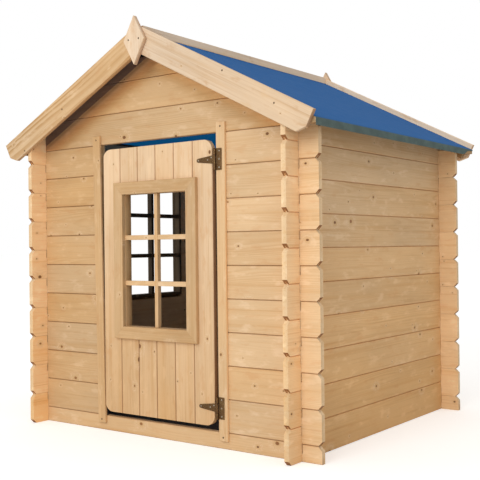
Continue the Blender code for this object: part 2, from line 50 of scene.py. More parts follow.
# Sizes of the house, as in the CAD model
PITCH = 0.105
BOARD = 0.017
WALL_X, WALL_Y = 0.565, 0.508
LOG_END = 0.069
CHAMFER = 0.013
END_X, END_Y = WALL_X + LOG_END, WALL_Y + LOG_END
COURSES = 10
TONGUE = 0.0055
ROOF_SLOPE = math.radians(27.1)
SLOPE = math.tan(ROOF_SLOPE)
SHEET_APEX, SHEET, EAVE_X, HEM_BOTTOM = 1.3430, 0.0012, 0.670, 0.9765
SHEET_UNDER = SHEET_APEX - 0.0015 / math.cos(ROOF_SLOPE)
RAFTER, RAFTER_DEPTH = 0.015, 0.045
BEAM_WIDTH, BEAM_BOTTOM = 0.036, 1.2820
BARGE, BARGE_WIDTH, BARGE_APEX, BARGE_END_X = 0.016, 0.0803, 1.3634, 0.671
BARGE_CHAMFER, BARGE_Y = 0.0268, 0.594
CAP_TOP, CAP_WIDTH = 1.3624, 0.026
FINIAL_Z, FINIAL_HALF_WIDTH, FINIAL_HALF_HEIGHT = 1.3110, 0.0450, 0.0803
JAMB_LEFT, JAMB_RIGHT = -0.2560, 0.2625
CASING, CASING_WIDTH, CASING_BOTTOM, CASING_TOP = 0.009, 0.034, 0.026, 1.029
CASING_LEAN = math.radians(0.95)
DOOR_X, DOOR_BOTTOM, DOOR_TOP, DOOR_CORNER = 0.004, 0.0693, 0.9770, 0.034
PLANKS, PLANK_WIDTH = 6, 0.0808
LEDGE, LEDGE_HEIGHT, LEDGE_INSET = 0.014, 0.060, 0.022
WINDOW_HALF_WIDTH, LINER = 0.1407, 0.012
TRIM, TRIM_WIDTH, BAR_WIDTH, BAR_HEIGHT = 0.014, 0.042, 0.014, 0.016
DOOR_WINDOW_Z = (0.3686, 0.8169)
SIDE_WINDOW_Y, SIDE_WINDOW_HALF_WIDTH, SIDE_WINDOW_Z = 0.067, 0.170, (0.4410, 0.9310)
SIDE_LINER_DEPTH, SIDE_BAR_DEPTH = 0.025, 0.0235
HINGE_X, HINGE_BARREL, HINGE_PIN, HINGE_PLATE = 0.2600, 0.0040, 0.0015, 0.0016
LEAF_WIDTH, LEAF_HEIGHT = 0.026, 0.069
STRAP_LENGTH, STRAP_BASE, STRAP_TIP, STRAP_KNUCKLE = 0.075, 0.028, 0.0062, 0.027
UPPER_HINGE_Z, LOWER_HINGE_Z = 0.9115, 0.1290
GAP = 0.0003
DOOR_FACE = WALL_Y + CASING + GAP
HINGE_Y = -(DOOR_FACE + GAP + HINGE_BARREL)
RAFTER_OUTER = BARGE_Y - BARGE - GAP
RAFTER_INNER = RAFTER_OUTER - RAFTER
SIDE_TOP = SHEET_UNDER - SLOPE * WALL_X - 2 * GAP
STUB_TOP = 9.52 * PITCH

# How the boards are cut
NOTCH = PITCH / 4 + 0.0004  # depth of the notch over a crossing board
PLAY = 0.0005  # room on each side of the crossing board
SLACK, REAR_SLACK = 0.0024, 0.0008  # room past it in a board's upper edge, and in the rear wall
JOINT = 0.0008  # open joint between two boards, in front of the tongue
V_EDGE, PLANK_V_EDGE = 0.0021, 0.0022  # planed-off edges beside a joint
JOINT_STAIN = 0.62

X, Y, Z = Vector((1, 0, 0)), Vector((0, 1, 0)), Vector((0, 0, 1))


def clamped(share, low=0.0):
    return max(low, min(1.0, share))


def in_scene(name, data):
    obj = bpy.data.objects.new(name, data)
    bpy.context.scene.collection.objects.link(obj)
    return obj


# ---------------------------------------------------------------- camera and light

def place_camera():
    heading, pitch, roll = math.radians(36.637), math.radians(0.419), math.radians(-0.650)
    level = math.cos(pitch)
    forward = Vector((-math.sin(heading) * level, math.cos(heading) * level, math.sin(pitch)))
    right = Vector((math.cos(heading), math.sin(heading), 0))
    up = right.cross(forward)
    turned_right = math.cos(roll) * right + math.sin(roll) * up
    turned_up = -math.sin(roll) * right + math.cos(roll) * up
    lens = bpy.data.cameras.new("camera")
    lens.lens, lens.sensor_width = 65.0, 36.0
    lens.clip_start, lens.clip_end = 0.05, 200.0
    camera = in_scene("camera", lens)
    camera.matrix_world = Matrix((turned_right, turned_up, -forward)).transposed().to_4x4()
    camera.matrix_world.translation = Vector((1.9484, -2.6622, 0.6364))
    bpy.context.scene.camera = camera


def light_world():
    """Even, slightly warm light on the house, in front of white."""
    world = bpy.data.worlds.new("studio")
    bpy.context.scene.world = world
    world.use_nodes = True
    tree = world.node_tree
    tree.nodes.clear()
    kinds = ("OutputWorld", "MixShader", "LightPath")
    out, mix, path = (tree.nodes.new("ShaderNode" + kind) for kind in kinds)
    ambient, backdrop = ((1.0, 0.985, 0.96, 1), 0.74), ((1, 1, 1, 1), 1.0)
    for slot, (colour, strength) in enumerate((ambient, backdrop), 1):
        background = tree.nodes.new("ShaderNodeBackground")
        background.inputs["Color"].default_value = colour
        background.inputs["Strength"].default_value = strength
        tree.links.new(background.outputs[0], mix.inputs[slot])
    tree.links.new(path.outputs["Is Camera Ray"], mix.inputs["Fac"])
    tree.links.new(mix.outputs[0], out.inputs["Surface"])
    bpy.context.scene.view_settings.view_transform = "Standard"


def key_light():
    lamp = bpy.data.lights.new("key", "AREA")
    lamp.shape, lamp.size, lamp.energy, lamp.color = "SQUARE", 4.0, 185, (1.0, 0.985, 0.965)
    light = in_scene("key", lamp)
    light.location = (1.0, -6.8, 3.4)
    light.rotation_mode = "QUATERNION"
    light.rotation_quaternion = (Vector((0, 0, 0.6)) - light.location).to_track_quat("-Z", "Y")


place_camera()
light_world()
key_light()


# ---------------------------------------------------------------- shader graphs

def operator(kind):
    """A Value's method for one kind of sum."""
    return lambda value, other: value.graph.math(kind, value, other)


class Value:
    """An output of a node, to be added to or multiplied by others and by plain numbers."""

    __add__, __sub__, __mul__ = operator("ADD"), operator("SUBTRACT"), operator("MULTIPLY")
    __truediv__, __pow__ = operator("DIVIDE"), operator("POWER")

    def __init__(self, graph, socket):
        self.graph, self.socket = graph, socket


class Graph:
    """A material's node graph, written as expressions."""

    def __init__(self, name):
        self.material = bpy.data.materials.new(name)
        self.material.use_nodes = True
        self.tree = self.material.node_tree
        self.shader = self.tree.nodes["Principled BSDF"]

    def node(self, kind, *inputs, output=0, **settings):
        """Makes a node and fills its inputs. Gives its output, or a list of them for a tuple."""
        made = self.tree.nodes.new("ShaderNode" + kind)
        for key, value in settings.items():
            setattr(made, key, value)
        for slot, value in inputs:
            self.put(made.inputs[slot], value)
        if isinstance(output, tuple):
            return [Value(self, made.outputs[each]) for each in output]
        return Value(self, made.outputs[output])

    def put(self, socket, value):
        if isinstance(value, Value):
            self.tree.links.new(value.socket, socket)
        elif isinstance(value, tuple) and socket.type == "RGBA":
            socket.default_value = (*value, 1)
        elif value is not None:
            socket.default_value = value

    def math(self, operation, a, b=None, clamp=False):
        return self.node("Math", (0, a), (1, b), operation=operation, use_clamp=clamp)

    def vector(self, x, y, z):
        return self.node("CombineXYZ", (0, x), (1, y), (2, z))

    def split(self, vector):
        return self.node("SeparateXYZ", (0, vector), output=(0, 1, 2))

    def noise(self, vector, scale=1.0, detail=2.0, roughness=0.5, output="Fac"):
        return self.node(
            "TexNoise", ("Vector", vector), ("Scale", scale), ("Detail", detail), ("Roughness", roughness),
            output=output,
        )

    def span(self, value, low, high, to_low=0.0, to_high=1.0):
        return self.node(
            "MapRange", ("Value", value), ("From Min", low), ("From Max", high),
            ("To Min", to_low), ("To Max", to_high), interpolation_type="SMOOTHSTEP",
        )

    def mix(self, share, a, b, blend="MIX"):
        return self.node("Mix", (0, share), (6, a), (7, b), output=2, data_type="RGBA", blend_type=blend)

    def tinted(self, colour, tint):
        return self.mix(1.0, colour, tint, "MULTIPLY")

    def bell(self, value, width):
        """1 where value is 0, falling off smoothly over the width."""
        scaled = value / width
        return self.math("EXPONENT", scaled * scaled * -1.0)

    def attribute(self, name, output="Vector"):
        return self.node("Attribute", attribute_name=name, output=output)

    def bump(self, height, strength, distance, under=None):
        return self.node(
            "Bump", ("Height", height), ("Strength", strength), ("Distance", distance), ("Normal", under),
        )

    def finish(self, **values):
        for name, value in values.items():
            self.put(self.shader.inputs[name.replace("_", " ")], value)
        return self.material


def pine(name, pale, late, tint=(1.0, 1.0, 1.0), knotty=0.80):
    """Planed softwood. "grain" holds metres along, across and into the log; "tone" each board's own
    brightness, warmth and figure, with the painted light and shade of its look; "stain_and_shade" how far
    the wood has browned, with painted shade too."""
    g = Graph(name)
    along, across, depth = g.split(g.attribute("grain"))
    value, warmth, figure = g.split(g.attribute("tone"))
    stain_and_shade = g.attribute("stain_and_shade", "Fac")

    def streaks(lengthwise, sideways, **settings):
        """Noise drawn out along the grain: how often it changes in a metre along and across it."""
        return g.noise(g.vector(along * lengthwise, across * sideways, depth * sideways), **settings)

    slow_1, slow_2, slow_3 = g.split(streaks(1.4, 3.0, detail=1.0, output="Color"))

    # Knots: round branch sections scattered over the face; off_knot is 1 at a knot's edge
    spread_u, spread_v = 7.0, 9.5
    cell, kind = g.node(
        "TexVoronoi", ("Vector", g.vector(along * spread_u, across * spread_v, 0.0)), ("Scale", 1.0),
        output=("Position", "Color"), voronoi_dimensions="2D",
    )
    cell_u, cell_v, _ = g.split(cell)
    kind_1, kind_2, kind_3 = g.split(kind)
    off_u = (along - cell_u / spread_u) * 0.75
    off_v = across - cell_v / spread_v
    wobble = (g.noise(g.vector(along * 220, across * 220, 0.0)) - 0.5) * 0.5
    radius = kind_2 ** 4.0 * 0.0046 + 0.0014
    absent = g.math("GREATER_THAN", kind_1, knotty) * 30.0
    off_knot = g.math("SQRT", off_u * off_u + off_v * off_v) / radius + wobble + absent

    # Year rings round the log's heart, pushed aside by the knots
    heart_v = across + (slow_1 - 0.5) * 0.050
    heart_w = depth + (slow_2 - 0.5) * 0.030
    ring_radius = g.math("SQRT", heart_v * heart_v + heart_w * heart_w)
    spacing = figure * figure * 0.0036 + 0.0032
    rings = ring_radius / spacing + streaks(2.6, 14.0) * 1.5 + g.bell(off_knot, 3.2) * 2.2
    phase = g.math("FRACT", rings)
    latewood = g.span(phase, 0.25, 0.90) - g.span(phase, 0.90, 1.0)
    patchy = g.span(g.noise(g.vector(along * 1.6, across * 11.0, 3.0)), 0.35, 0.75, 0.30, 1.0)
    ring_share = latewood * patchy * figure

    fibre = streaks(9.0, 560.0, detail=3.0) - 0.5
    cloud = streaks(3.2, 8.0, detail=3.0) - 0.5
    fleck = streaks(13.0, 34.0, detail=3.0, roughness=0.6)
    colour = g.mix(ring_share, pale, late)
    colour = g.mix(g.span(streaks(1.3, 46.0), 0.48, 0.80) * 0.46, colour, (0.60, 0.345, 0.135))
    colour = g.mix(g.span(streaks(2.4, 150.0, detail=3.0), 0.52, 0.78) * 0.38, colour, (0.50, 0.265, 0.095))
    colour = g.mix(g.span(fleck, 0.54, 0.72) * 0.70, colour, (0.800, 0.585, 0.375))
    colour = g.mix(g.span(fleck, 0.44, 0.27) * 0.50, colour, (0.640, 0.375, 0.185))
    shade = fibre * 0.16 + cloud * 0.30 + value
    colour = g.tinted(colour, g.vector(shade, shade, shade))
    warm_share = g.math("ADD", warmth, (slow_3 - 0.5) * 1.1, clamp=True)
    colour = g.mix(warm_share, colour, g.tinted(colour, (1.0, 0.87, 0.66)))
    colour = g.mix(g.bell(off_knot, 2.9) * 0.38, colour, (0.56, 0.33, 0.125))
    halo = g.bell(off_knot - 3.4, 1.5) * g.span(wobble, -0.10, 0.12)
    colour = g.mix(halo * 0.45, colour, (0.86, 0.66, 0.46))
    core = g.span(off_knot, 1.15, 0.75)
    colour = g.mix(core * 0.92, colour, g.mix(kind_3, (0.120, 0.042, 0.012), (0.330, 0.140, 0.045)))
    # Real stain, and the painted shade that looks write into the same attribute, brown the wood
    colour = g.mix(stain_and_shade, colour, g.tinted(colour, (0.46, 0.27, 0.17)))

    height = latewood * 0.30 + fibre * 1.3 + core * -0.7
    rough = fibre * 0.25 + ring_share * -0.10 + core * -0.12 + 0.62
    colour, normal = g.tinted(colour, tint), g.bump(height, 0.30, 0.0006)
    return g.finish(Base_Color=colour, Roughness=rough, Normal=normal, Specular_IOR_Level=0.25)


HEM = (0.085, 0.120, 0.115)


def tarpaulin(name, deep, light, glow=0.0):
    """Woven plastic sheet. "grain" holds flat metres over and along the roof, and 1 on the hems."""
    g = Graph(name)
    u, v, on_hem = g.split(g.attribute("grain"))
    thread = 2 * math.pi / 0.0026
    weave = g.math("SINE", u * thread) * g.math("SINE", v * thread)
    fade = g.noise(g.vector(u * 2.2, v * 1.3, 0.0), detail=3.0) - 0.5
    scuff = g.noise(g.vector(u * 26.0, v * 18.0, 0.0), detail=4.0, roughness=0.62)
    crease = g.noise(g.vector(u * 7.0, v * 3.0, 4.0))
    colour = g.mix(g.math("ADD", fade * 1.1, 0.5, clamp=True), deep, light)
    colour = g.mix(g.span(scuff, 0.58, 0.82) * 0.10, colour, (0.12, 0.25, 0.44))
    # The hems are grey-green, paler in patches
    hem_colour = g.mix(g.span(scuff, 0.35, 0.70), HEM, tuple(1.35 * part for part in HEM))
    colour = g.mix(on_hem, colour, hem_colour)
    colour = g.mix(g.span(weave, -1.0, 1.0, 0.0, 0.12), colour, g.tinted(colour, (0.5, 0.5, 0.5)))
    normal = g.bump(weave, 0.20, 0.0002, g.bump(crease, 0.30, 0.006))
    # Painted light: the glow stands in for daylight coming through the sheet
    if glow:
        g.finish(Emission_Color=(0.001, 0.060, 0.165), Emission_Strength=glow)
    return g.finish(Base_Color=colour, Roughness=scuff * 0.20 + 0.62, Normal=normal, Specular_IOR_Level=0.10)


def bronze():
    """Antique bronze lacquer, worn to brass on high spots."""
    g = Graph("antique_bronze")
    place = g.node("TexCoord", output="Object")
    mottle = g.noise(place, scale=420.0, detail=4.0, roughness=0.65)
    patch = g.noise(place, scale=70.0)
    colour = g.mix(g.span(mottle, 0.38, 0.66), (0.075, 0.038, 0.015), (0.290, 0.165, 0.070))
    colour = g.mix(g.span(patch, 0.54, 0.74, 0.0, 0.50), colour, (0.27, 0.180, 0.075))
    rough = g.span(mottle, 0.3, 0.7, 0.52, 0.34)
    return g.finish(Base_Color=colour, Roughness=rough, Metallic=0.85, Normal=g.bump(mottle, 0.35, 0.0003))


def steel(name, dark, bright, roughness):
    g = Graph(name)
    mottle = g.noise(g.node("TexCoord", output="Object"), scale=900.0, detail=3.0)
    colour = g.mix(g.span(mottle, 0.35, 0.65), dark, bright)
    rough = g.span(mottle, 0.3, 0.7, roughness + 0.08, roughness - 0.06)
    return g.finish(Base_Color=colour, Roughness=rough, Metallic=0.9)


PALE, LATE = (0.715, 0.500, 0.290), (0.520, 0.295, 0.120)
WOOD = pine("pine", PALE, LATE)
WOOD_END = pine("pine_end_grain", (0.680, 0.470, 0.285), (0.500, 0.290, 0.130), (0.88, 0.92, 0.91))
# Painted shade: dark slate gable wood close under the roof edge
WOOD_SHADED = pine("pine_painted_shade_under_roof", PALE, LATE, (0.46, 0.45, 0.60))
# Painted shade: the lower cut corners of the log ends, dark brown
WOOD_CUT_PAINTED_SHADE = pine("pine_cut_corner_painted_shade", PALE, LATE, (0.34, 0.21, 0.13))
DOOR_WOOD = pine("pine_door", (0.740, 0.535, 0.340), (0.545, 0.320, 0.150))
BLEACHED = pine("pine_bleached", (0.830, 0.650, 0.475), (0.690, 0.480, 0.300), knotty=0.35)
BLEACHED_END = pine(
    "pine_bleached_end_grain", (0.760, 0.570, 0.400), (0.600, 0.400, 0.240), (0.72, 0.62, 0.54),
)
TARPAULIN = tarpaulin("tarpaulin", (0.008, 0.106, 0.335), (0.013, 0.124, 0.375))
# Painted light: the underside glows blue, as if daylight came through the sheet
UNDERSIDE = tarpaulin("tarpaulin_underside", (0.020, 0.090, 0.240), (0.026, 0.105, 0.270), glow=0.85)
# Painted shade: the sheet's underside over the eaves and by the peaks is near black
OVERHANG_PAINTED_SHADE = tarpaulin("tarpaulin_painted_shade", (0.055, 0.050, 0.062), (0.070, 0.064, 0.078))
BRONZE = bronze()
ZINC = steel("worn_zinc_screw", (0.34, 0.29, 0.22), (0.62, 0.55, 0.44), 0.36)
DARK_STEEL = steel("yellow_passivated_screw", (0.085, 0.055, 0.030), (0.200, 0.135, 0.070), 0.45)

# Materials of a piece's faces: along the grain, at the ends, and on a board's lower cut corners, dark there
# as painted shade
TIMBER = (WOOD, WOOD_END)
LOG = (WOOD, WOOD_END, WOOD_CUT_PAINTED_SHADE)
WHITE_TIMBER = (BLEACHED, BLEACHED_END)
# A board's own brightness, warmth and figure
PLAIN_TONE = (1.0, 0.25, 0.55)
FRONT_TONE = (1.00, 0.30, 0.30)
SIDE_TONE = (1.00, 0.55, 0.34)
DOOR_TONE = (1.03, 0.18, 0.32)
# A look is a point's brightness, added warmth and stain; looks paint light and shade as well as real stain
CLEAN = (1.0, 0.0, 0.0)


# ---------------------------------------------------------------- pieces

def frame_at(origin=(0, 0, 0), u=X, v=Y, w=Z):
    """A frame for a flat piece: u runs along its grain, v across it, and w out of its face."""
    matrix = Matrix((u, v, w)).transposed().to_4x4()
    matrix.translation = origin
    return matrix


FRONT = frame_at((0, -WALL_Y, 0), X, Z, -Y)
REAR = frame_at((0, WALL_Y, 0), X, Z, Y)
RIGHT = frame_at((WALL_X, 0, 0), Y, Z, X)
LEFT = frame_at((-WALL_X, 0, 0), Y, Z, -X)
DOOR = frame_at((0, -DOOR_FACE, 0), X, Z, -Y)
# Turns of a drawn outline: the section becomes the run's, u and v change places, and v becomes up
RUN = Matrix(((0, 0, 1, 0), (1, 0, 0, 0), (0, 1, 0, 0), (0, 0, 0, 1)))
SWAP = Matrix(((0, 1, 0, 0), (1, 0, 0, 0), (0, 0, 1, 0), (0, 0, 0, 1)))
STAND = Matrix(((1, 0, 0, 0), (0, 0, -1, 0), (0, 1, 0, 0), (0, 0, 0, 1)))


def close_between(form, low, high):
    """Faces over two rings of points and between them."""
    form.faces.new(low)
    form.faces.new(high)
    for at in range(len(low)):
        after = (at + 1) % len(low)
        form.faces.new((low[at], low[after], high[after], high[at]))


def prism(outline, w_low, w_high):
    """A closed form with this outline in u and v."""
    form = bmesh.new()
    low, high = ([form.verts.new((u, v, w)) for u, v in outline] for w in (w_low, w_high))
    close_between(form, low, high)
    bmesh.ops.recalc_face_normals(form, faces=form.faces)
    return form


def moved(form, matrix):
    bmesh.ops.transform(form, matrix=matrix, verts=form.verts)
    bmesh.ops.recalc_face_normals(form, faces=form.faces)
    return form


def sliced(form, point, normal):
    """Adds edges where a plane crosses the form, so that a look can change there."""
    parts = form.verts[:] + form.edges[:] + form.faces[:]
    bmesh.ops.bisect_plane(form, geom=parts, dist=1e-6, plane_co=point, plane_no=normal)


def to_mesh(form, name="piece"):
    mesh = bpy.data.meshes.new(name)
    form.to_mesh(mesh)
    form.free()
    return mesh


def combined(first, second, operation):
    """The Boolean of two bmesh forms."""
    objects = [in_scene("working", to_mesh(form)) for form in (first, second)]
    modifier = objects[0].modifiers.new("cut", "BOOLEAN")
    modifier.operation, modifier.object = operation, objects[1]
    graph = bpy.context.evaluated_depsgraph_get()
    form = bmesh.new()
    form.from_object(objects[0], graph)
    for obj in objects:
        mesh = obj.data
        bpy.data.objects.remove(obj)
        bpy.data.meshes.remove(mesh)
    bmesh.ops.remove_doubles(form, verts=form.verts, dist=1e-6)
    return form


def soften(form, width):
    """Rounds the edges of a form."""
    edges = [
        edge for edge in form.edges
        if len(edge.link_faces) == 2 and edge.calc_face_angle() > math.radians(25)
    ]
    bmesh.ops.bevel(
        form, geom=edges, offset=width, offset_type="OFFSET", segments=2, profile=0.5,
        affect="EDGES", clamp_overlap=True,
    )


def own_random(name):
    return random.Random(zlib.crc32(name.encode()))


def store(mesh, name, kind, values):
    """Keeps a value for each point of a mesh."""
    field = "vector" if kind == "FLOAT_VECTOR" else "value"
    for item, value in zip(mesh.attributes.new(name, kind, "POINT").data, values):
        setattr(item, field, value)


def attach(
    form, name, place, body, node, materials, tone=PLAIN_TONE, slot=None, smooth=None, shift=None, look=None,
):
    """Makes a form into a named piece that rides on a body, with its own place in the log.

    look gives a point's brightness, added warmth and stain from its place in the piece's frame, painted light
    and shade among them.
    """
    chance = own_random(name)
    if shift is None:
        middle = sum((vert.co.y for vert in form.verts), 0.0) / len(form.verts)
        heart = chance.choice((-1, 1)) * chance.uniform(0.012, 0.070)
        shift = (chance.uniform(2.0, 40.0), heart - middle, chance.uniform(0.030, 0.085))
    grain = [vert.co + Vector(shift) for vert in form.verts]
    looks = [look(vert.co) if look else CLEAN for vert in form.verts]
    form.normal_update()
    has_ends, has_corners = len(materials) > 1, len(materials) > 2
    for face in form.faces:
        face.smooth = smooth is not None
        is_end = has_ends and abs(face.normal.x) > (0.4 if has_corners else 0.8)
        # The downward end faces of the cut corners take the material of painted shade
        face.material_index = 2 if is_end and has_corners and face.normal.y < -0.4 else int(is_end)
    mesh = to_mesh(moved(form, place), name)
    base, warmth, figure = tone
    base *= chance.uniform(0.955, 1.045)
    warmth += chance.uniform(-0.18, 0.18)
    figure *= chance.uniform(0.65, 1.25)
    store(mesh, "grain", "FLOAT_VECTOR", grain)
    store(mesh, "tone", "FLOAT_VECTOR", [(base * gain, warmth + warmer, figure) for gain, warmer, _ in looks])
    store(mesh, "stain_and_shade", "FLOAT", [stain_and_shade for _, _, stain_and_shade in looks])
    for material in materials:
        mesh.materials.append(material)
    if smooth is not None:
        mesh.set_sharp_from_angle(angle=math.radians(smooth))
    obj = in_scene(name, mesh)
    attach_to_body(obj, body)
    if node:
        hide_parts(node)
    slot or node
    return obj


def lath(
    name, node, place, outline, thick, body="house", tone=FRONT_TONE, edge=0.0012, out=0.0,
    materials=TIMBER, look=None,
):
    """A plain piece with rounded edges, w from out - thick to out."""
    form = prism(outline, out - thick, out)
    soften(form, edge)
    return attach(form, name, place, body, node, materials, tone, look=look)


def box_outline(u_low, u_high, v_low, v_high):
    return [(u_low, v_low), (u_high, v_low), (u_high, v_high), (u_low, v_high)]


def corner_arc(centre, radius, start, end, steps=8):
    turns = [start + (end - start) * step / steps for step in range(steps + 1)]
    return [(centre[0] + radius * math.cos(t), centre[1] + radius * math.sin(t)) for t in turns]


def in_joint(point, edge=V_EDGE):
    """True at the bottom of the V between two boards."""
    return abs(point.z + edge) < 1e-5


def shaded_back(out, thick, stain_and_shade):
    """A look of painted shade for a piece whose side faces brown towards the back."""
    return lambda point: (1.0, 0.0, stain_and_shade if 1e-4 < point.z - out + thick < 0.002 else 0.0)


def backlit(dark):
    """A look of painted shade for the side of a window bar that faces the dim room."""
    return lambda point: (0.16, -0.3, 0.0) if dark(point) else CLEAN


# ---------------------------------------------------------------- walls

def board_profile(low, high, tongue=True, groove=True, edge=V_EDGE):
    """The section across a board: points in v and w."""
    middle, half, deep = -BOARD / 2, TONGUE / 2, TONGUE + 0.001
    points = [(low, -BOARD)]
    if groove:
        points += [(low, middle - half), (low + deep, middle - half)]
        points += [(low + deep, middle + half), (low, middle + half)]
    points += [(low, -edge), (low + edge, 0), (high - edge, 0), (high, -edge)]
    if tongue:
        top, thin = high + TONGUE, half - 0.0002
        points += [(high, middle + thin), (top, middle + thin), (top, middle - thin), (high, middle - thin)]
    return points + [(high, -BOARD)]


def profiled(profile, outline):
    """The section run along u and cut to an outline in u and v."""
    us = [u for u, _ in outline]
    run = moved(prism(profile, min(us) - 0.01, max(us) + 0.01), RUN)
    return combined(run, prism(outline, -0.1, 0.1), "INTERSECT")


def log_end(end, face, low, high, bottom=(True, True), top=(True, True), slack=SLACK):
    """Outline of a board's right-hand end, going up.

    bottom and top say whether it has the notch over the crossing wall and the cut corner there.
    """
    inner, outer = face - BOARD - PLAY, face + PLAY
    points = []
    if bottom[0]:
        points += [(inner, low), (inner, low + NOTCH), (outer, low + NOTCH), (outer, low)]
    points += [(end - CHAMFER, low), (end, low + CHAMFER)] if bottom[1] else [(end, low)]
    if top[1]:
        points += [(end, high - CHAMFER), (end - CHAMFER, high), (end - CHAMFER - 0.003, high + TONGUE)]
    else:
        points += [(end, high)]
    if top[0]:
        tip, step, past = high + TONGUE, high - NOTCH, face + slack
        points += [(past, tip), (past, step), (inner, step), (inner, tip)]
    return points


def plain_end(end, low, high):
    return [(end, low), (end, high + TONGUE)]


def mirrored(points):
    return [(-u, v) for u, v in reversed(points)]


def wall_board(name, node, place, left, right, low, high, tone, **profile):
    """left and right are outlines of the two ends, left one drawn as a right-hand end."""
    form = profiled(board_profile(low, high, **profile), right + mirrored(left))
    on_side = place in (RIGHT, LEFT)
    face = WALL_Y if on_side else WALL_X
    just_past, just_short = face + 0.0006, face - BOARD - 0.0006
    for at in (-just_past, -just_short, just_short, just_past):
        sliced(form, (at, 0, 0), (1, 0, 0))
    # Gains of painted light past the crossing wall and on the room side, and the joints' gain
    outer_gain, inner_gain, joint_gain, outer_warmer = (
        (1.31, 1.46, 1.35, -0.75) if on_side else (1.14, 1.33, 1.0, -0.35)
    )

    def look(point):
        """Painted light: boards are paler past the crossing wall and on the room side. They are brown in the
        joints.
        """
        past = abs(point.x) > face - BOARD / 2
        if point.z < -BOARD + 1e-4:
            gain, warmer = (inner_gain, -0.55) if past else (1.20, -1.0)
        else:
            gain, warmer = (outer_gain, outer_warmer) if past else (1.0, 0.0)
        if in_joint(point):
            return gain * joint_gain, warmer, JOINT_STAIN
        return gain, warmer, 0.0

    return attach(form, name, place, "house", node, LOG, tone, look=look)


def half_step_wall(place, sill_name, sill_node, tongue, slack, spans):
    """Front or rear wall: half a board on the ground, then full boards.

    spans lists the boards of a course: name, node below and above the sixth course, the jambs where
    they end instead of crossing a side wall, and tone.
    """
    high = PITCH / 2 - JOINT
    end = log_end(END_X, WALL_X, 0, high, bottom=(False, False), slack=slack)
    wall_board(sill_name, sill_node, place, end, end, 0, high, FRONT_TONE, groove=False, tongue=tongue)
    for course in range(1, COURSES):
        low = (course - 0.5) * PITCH
        high = low + PITCH - JOINT
        crossing = log_end(END_X, WALL_X, low, high, slack=slack)
        for name, nodes, jambs, tone in spans:
            ends = [plain_end(jamb, low, high) if jamb else crossing for jamb in jambs]
            wall_board(f"{name}_board_{course:02d}", nodes[course >= 6], place, *ends, low, high, tone)


def under_sheet(x):
    return SHEET_UNDER - 2 * GAP - SLOPE * abs(x)


# Painted shade under the roof, for the shadow of the overhang: depth below the roof, then the wood's
# brightness, added warmth and stain there
UNDER_ROOF_PAINTED_SHADE = (
    (0.000, 0.92, -0.3, 0.00), (0.046, 0.92, -0.3, 0.45), (0.056, 1.02, 0.0, 0.60), (0.066, 1.38, 0.0, 0.60),
    (0.078, 1.34, 0.5, 0.60), (0.090, 1.25, 0.7, 0.55), (0.102, 1.03, 0.65, 0.30),
    (0.114, 0.98, 0.4, 0.15), (0.132, 0.96, 0.2, 0.00), (0.150, 1.00, 0.0, 0.00),
)
SHADE_DEPTH = UNDER_ROOF_PAINTED_SHADE[1][0]  # down to here the gable is painted in deep shade


# Painted shade under the roof: dark close under the sheet, then a brown band that fades out, weaker on the +X
# slope; real stain in the joints
def painted_shade_under_roof(point):
    depth = under_sheet(point.x) - point.y
    gain, warmer, stain_and_shade = CLEAN
    for upper, lower in zip(UNDER_ROOF_PAINTED_SHADE, UNDER_ROOF_PAINTED_SHADE[1:]):
        if depth < lower[0]:
            share = clamped((depth - upper[0]) / (lower[0] - upper[0]))
            looks = zip(upper[1:], lower[1:])
            gain, warmer, stain_and_shade = (above + (below - above) * share for above, below in looks)
            break
    if point.x > 0 and depth > SHADE_DEPTH:
        gain *= 1.0 + 0.25 * clamped((0.120 - depth) / 0.03)
        stain_and_shade *= 0.5
    return gain, warmer, max(stain_and_shade, JOINT_STAIN if in_joint(point) else 0.0)


def gable_board(name, place, low, high, tone, tongue=True):
    """A board cut to the roof's slope; the lowest one still crosses the side walls."""
    inner, outer = WALL_X - BOARD - PLAY, WALL_X - 0.0006
    half = [(inner, low), (inner, low + NOTCH), (outer, low + NOTCH), (outer, under_sheet(outer))]
    if low > COURSES * PITCH:
        reach = (under_sheet(0) - low) / SLOPE
        half = [(min(reach, outer), low)]
        if reach > outer:
            half.append((outer, under_sheet(outer)))
    top = high + (TONGUE if tongue else 0)
    half.append(((under_sheet(0) - top) / SLOPE, top))
    form = profiled(board_profile(low, high, tongue=tongue), half + mirrored(half))
    for side in (-1, 1):
        for depth, *_ in UNDER_ROOF_PAINTED_SHADE[1:]:
            sliced(form, (0, under_sheet(0) - depth, 0), (side * SLOPE, 1, 0))
    obj = attach(form, name, place, "house", name, (*LOG, WOOD_SHADED), tone, look=painted_shade_under_roof)
    # Faces close under the roof take the material of painted shade
    outward = place[1][2]
    for polygon in obj.data.polygons:
        depth = under_sheet(polygon.center.x) - polygon.center.z
        if polygon.normal.y * outward > 0.5 and depth < SHADE_DEPTH:
            polygon.material_index = len(LOG)


def gable(names, place, tone):
    low = (COURSES - 0.5) * PITCH
    for name in names:
        last = name == names[-1]
        high = BEAM_BOTTOM - 2 * GAP if last else low + PITCH - JOINT
        gable_board(name, place, low, high, tone, tongue=not last)
        low += PITCH


